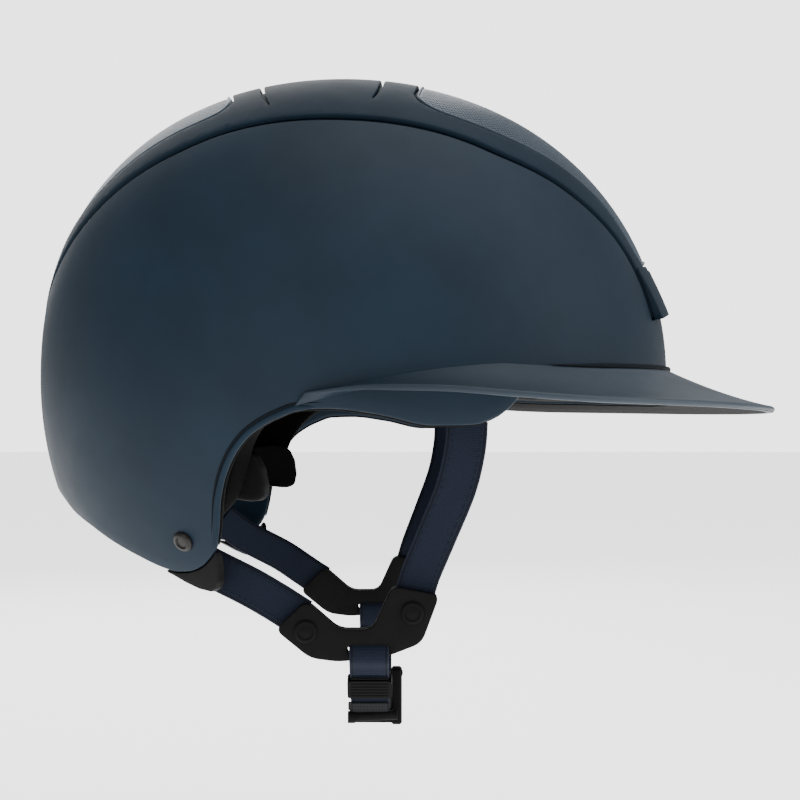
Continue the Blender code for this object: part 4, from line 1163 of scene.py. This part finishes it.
FRONT_PATH = [(0.0444, 0.0880, -0.0056), (0.0437, 0.0850, -0.0160), (0.0407, 0.0790, -0.0300),
              (0.0339, 0.0700, -0.0480), (0.0284, 0.0638, -0.0620), (0.0262, 0.0625, -0.0690),
              (0.0248, 0.0625, -0.0735)]
REAR_PATH = [(-0.0540, 0.0661, -0.0585), (-0.0490, 0.0662, -0.0613), (-0.0361, 0.0656, -0.0679),
             (-0.0268, 0.0633, -0.0737), (-0.0215, 0.0625, -0.0772), (-0.0170, 0.0625, -0.0800)]
DIVIDER = [(-0.0270, -0.0840), (-0.0154, -0.0729), (-0.0029, -0.0838), (0.0097, -0.0838),
           (0.0172, -0.0674), (0.0352, -0.0708), (0.0284, -0.0890), (0.0158, -0.0939),
           (-0.0029, -0.0961), (-0.0138, -0.0947)]
CHIN_NEAR = [(-0.0611, -0.0970), (-0.0594, -0.0998), (-0.0560, -0.1040), (-0.0485, -0.1160),
             (-0.0440, -0.1210), (-0.0370, BUCKLE_Z)]
CHIN_FAR = [(0.0617, -0.0970), (0.0609, -0.1006), (0.0592, -0.1060), (0.0560, -0.1140),
            (0.0520, -0.1205), (0.0470, BUCKLE_Z), (0.0300, BUCKLE_Z), (0.0178, BUCKLE_Z)]
# The strap's turn round each divider's lower bar.
CHIN_TURN = [(0.0604, -0.1000), (0.0584, -0.0975), (0.0579, -0.0935), (0.0588, -0.0908),
             (0.0612, -0.0899), (0.0640, -0.0901), (0.0664, -0.0909), (0.0672, -0.0930),
             (0.0668, -0.0955), (0.0640, -0.0985), (0.0622, -0.1010)]


def strap_frame(path, wide, t):
    """A strap's middle at a share of its length, and its directions across and outward."""
    run = spline_point(path, t + 0.01) - spline_point(path, t - 0.01)
    across = wide(t).normalized()
    return spline_point(path, t), across, run.cross(across).normalized()


def strap_mesh(path, wide, segments=90, thick=WEB_THICK):
    """Webbing with rounded selvedges, and UVs in metres across and along."""
    half, t2 = WEB_WIDTH / 2, thick / 2
    face = [(-half + 0.0008 + (WEB_WIDTH - 0.0016) * i / 8, t2) for i in range(9)]
    face += [(half - 0.0002, t2 * 0.55), (half, 0.0), (half - 0.0002, -t2 * 0.55)]
    shape = face + [(-a, -b) for a, b in face]
    bm = bmesh.new()
    uv = bm.loops.layers.uv.new("UVMap")
    rows, lengths, last = [], [], None
    for k in range(segments + 1):
        here, across, normal = strap_frame(path, wide, k / segments)
        lengths.append(lengths[-1] + (here - last).length if lengths else 0.0)
        last = here
        rows.append([bm.verts.new(here + across * a + normal * b) for a, b in shape])
    count = len(shape)
    for k in range(segments):
        for i in range(count):
            j = (i + 1) % count
            face = bm.faces.new((rows[k][i], rows[k][j], rows[k + 1][j], rows[k + 1][i]))
            for loop, (m, n) in zip(face.loops, ((i, k), (j, k), (j, k + 1), (i, k + 1))):
                loop[uv].uv = (shape[m][0], lengths[n])
    for row, n in ((rows[0], 0), (rows[-1], segments)):
        face = bm.faces.new(row)
        for loop, (a, b) in zip(face.loops, shape):
            loop[uv].uv = (a, lengths[n] + b)
    bmesh.ops.recalc_face_normals(bm, faces=bm.faces)
    return bm


def finish_webbing(name, path, wide, segments=90, node=()):
    finish_piece(name, strap_mesh(path, wide, segments), WEB, replaces=node,
                 sharp=50)


def build_side_harness(side, label):
    def across(points):
        def direction(t):
            run = spline_point(points, min(t + 0.02, 1)) - spline_point(points, max(t - 0.02, 0))
            return Vector((run.z, 0, -run.x))
        return direction
    # The rear strap runs on up inside the shell, past its anchor.
    for name, path in (("front", FRONT_PATH),
                       ("rear", [(-0.0640, 0.0650, -0.0510)] + REAR_PATH)):
        points = [on_side(point, side) for point in path]
        wide = across(points)
        finish_webbing(f"{name}_webbing_{label}", points, wide,
                       node=(f"{name}_strap_{label}",))
        for letter, edge in (("a", -0.0052), ("b", 0.0052)):
            line = []
            for k in range(61):
                here, a, out = strap_frame(points, wide, 0.02 + 0.96 * k / 60)
                if out.y * side < 0:
                    out = -out
                line.append(here + a * edge + out * WEB_THICK / 2)
            made = [tube([a, (a + b) / 2 + out * 0.00012, b], 0.00022, 6)
                    for a, b in zip(line[0:60:2], line[1:60:2])]
            finish_piece(f"{name}_strap_seam_{letter}_{label}", join(*made), THREAD,
                         sharp=60)
    gap_half = WEB_THICK / 2 + 0.0004
    outline = rounded([(x * 1e3, z * 1e3) for x, z in DIVIDER], 3.5, 8)
    slot = rounded(corners((0.3, -92.8), (16.2, -90.4)), 0.8, 4)
    for layer, name in ((1, "divider_outer_"), (-1, "divider_inner_")):
        face = side * (DIVIDER_Y + layer * (gap_half + PLATE))
        inward = -side * layer

        def put(x, y, depth, face=face, inward=inward):
            return Vector((x * 1e-3, face + inward * depth, y * 1e-3))
        bm = sheet_mesh(outline, [slot], put, PLATE, 0.55, 3.0, pitch=0.7, back_edge=0.25)
        finish_piece(name.replace("divider", "divider_plate") + label, bm, BLACK,
                     replaces=(name + label,), sharp=50)
    y = side * (DIVIDER_Y + gap_half + PLATE)
    profile = [(0.0, 0.00005), (0.0043, 0.00005), (0.0044, 0.0006), (0.0041, 0.0011),
               (0.0034, 0.0014), (0.0030, 0.0013), (0.0028, 0.0010), (0.0022, 0.0010),
               (0.0014, 0.0013), (0.0, 0.0014)]
    for name, x, z in (("rear", -0.0154, -0.0846), ("front", 0.0248, -0.0776)):
        finish_piece(f"stud_{name}_{label}", lathe(profile, (x, y, z), (0, side, 0)), BLACK,
                     replaces=(f"snap_{name}_{label}",), sharp=40)


def build_chin():
    def chin(points):
        return [Vector((CHIN_X, y, z)) for y, z in points]

    def wide(t):
        return Vector((1, 0, 0))
    near = chin(CHIN_NEAR)
    finish_webbing("chin_webbing_right", near, wide, 80, ("chin_strap_right",))
    finish_webbing("chin_webbing_left", chin(CHIN_FAR), wide, 110, ("chin_strap_left",))
    for side, label in SIDES:
        turn = [on_side(point, side) for point in chin(CHIN_TURN)]
        finish_webbing("chin_turn_" + label, turn, wide, 40)
    run = (near[3] - near[2]).normalized()
    outward = wide(0).cross(run)
    if outward.y > 0:
        outward = -outward
    soften("strap_slider", BLACK, 0.0005)
    ribs = []
    for k in range(-4, 3):
        spot = near[2].lerp(near[3], 0.28) + run * 0.0015 * k + outward * 0.0024
        ribs.append(tube([spot + Vector((x, 0, 0)) for x in (-0.0072, 0, 0.0072)], 0.00032, 10))
    finish_piece("slider_ribs", join(*ribs), BLACK, "strap_slider", sharp=50)
    # A ribbed grip band is folded over the strap where it enters the buckle.
    grip = [point + outward * 0.0013 for point in (
        near[3] - run * 0.0028, near[3], near[3].lerp(near[4], 0.5), near[4])]
    finish_piece("grip_band", strap_mesh(grip, wide, 40, 0.0010), GREY_WEB,
                 sharp=50)
    # The buckle's cross bar, with a boss at its far end, and the lever's round knob.
    bar = [Vector((x, -0.0478, z)) for x, z in ((0.0004, -0.1206), (0.0100, -0.1202),
                                                (0.0190, -0.1197))]
    bm = join(tube(bar, 0.0019, 16),
              tube([bar[0] - Vector((0.0006, 0, 0)), bar[0] + Vector((0.0022, 0, 0))], 0.0024, 16),
              lathe([(0.0, 0.0), (0.0025, 0.0), (0.0026, 0.0008), (0.0022, 0.0014), (0.0, 0.0014)],
                    (0.0187, -0.0410, -0.1044), (0, -1, 0), 32))
    finish_piece("buckle_bar", bm, BLACK, sharp=50)
    soften("buckle_lever", BLACK, 0.0002)


# ---- stage

def build_stage():
    world = bpy.context.scene.world or bpy.data.worlds.new("World")
    bpy.context.scene.world = world
    world.use_nodes = True
    tree = world.node_tree
    tree.nodes.clear()
    output = tree.nodes.new("ShaderNodeOutputWorld")
    path = tree.nodes.new("ShaderNodeLightPath")
    mix = tree.nodes.new("ShaderNodeMixShader")
    tree.links.new(path.outputs["Is Camera Ray"], mix.inputs[0])
    # The first background lights the scene, and the second is what the camera sees.
    for socket, color, strength in ((1, (0.96, 0.98, 1.0, 1), 0.60), (2, (1.0, 1.0, 1.0, 1), 3.05)):
        sky = tree.nodes.new("ShaderNodeBackground")
        sky.inputs["Color"].default_value = color
        sky.inputs["Strength"].default_value = strength
        tree.links.new(sky.outputs[0], mix.inputs[socket])
    tree.links.new(mix.outputs[0], output.inputs[0])
    bpy.ops.mesh.primitive_plane_add(size=30, location=(0, 0, -0.24))
    floor = bpy.context.object
    floor.name = "floor"
    pale = Look("floor", (0.80, 0.80, 0.80), 0.9)
    pale.shader.inputs["Emission Color"].default_value = (1, 1, 1, 1)
    pale.shader.inputs["Emission Strength"].default_value = 1.85
    floor.data.materials.append(pale.mat)
    target = Vector((0.01, 0, 0.01))
    for name, place, size, energy in (
            ("over", (0.35, -0.35, 1.25), 1.5, 18.0),
            ("behind", (-0.3, 1.1, 0.75), 1.2, 14.0),
            ("front", (1.3, -0.5, 0.55), 1.0, 9.0),
            ("fill", (-0.5, -1.4, 0.5), 1.2, 5.0)):
        light = bpy.data.lights.new(name, "AREA")
        light.shape, light.size, light.energy = "SQUARE", size, energy
        obj = add_object(name, light)
        obj.location = place
        obj.rotation_euler = (target - Vector(place)).to_track_quat("-Z", "Y").to_euler()
    camera = bpy.data.cameras.new("camera")
    camera.lens, camera.sensor_width = 60.0, 36.0
    camera.shift_x, camera.shift_y = -0.0025, 0.04
    camera.clip_start = 0.01
    obj = add_object("camera", camera)
    obj.location = (0.0209, -0.568, -0.0094)
    obj.rotation_euler = (pi / 2, 0, 0)
    bpy.context.scene.camera = obj


build_stage()
build_shell()
build_crown()
build_badge()
build_brim()
build_liner()
build_pads()
build_cradle()
build_chin()
for node in ("buckle_housing", "buckle_tongue", "release_arm_front", "release_arm_rear"):
    soften(node, BLACK, 0.0005)
for side, label in SIDES:
    build_ear_trim(side, label)
    build_rear_anchor(side, label)
    build_front_anchor(side, label)
    build_side_harness(side, label)
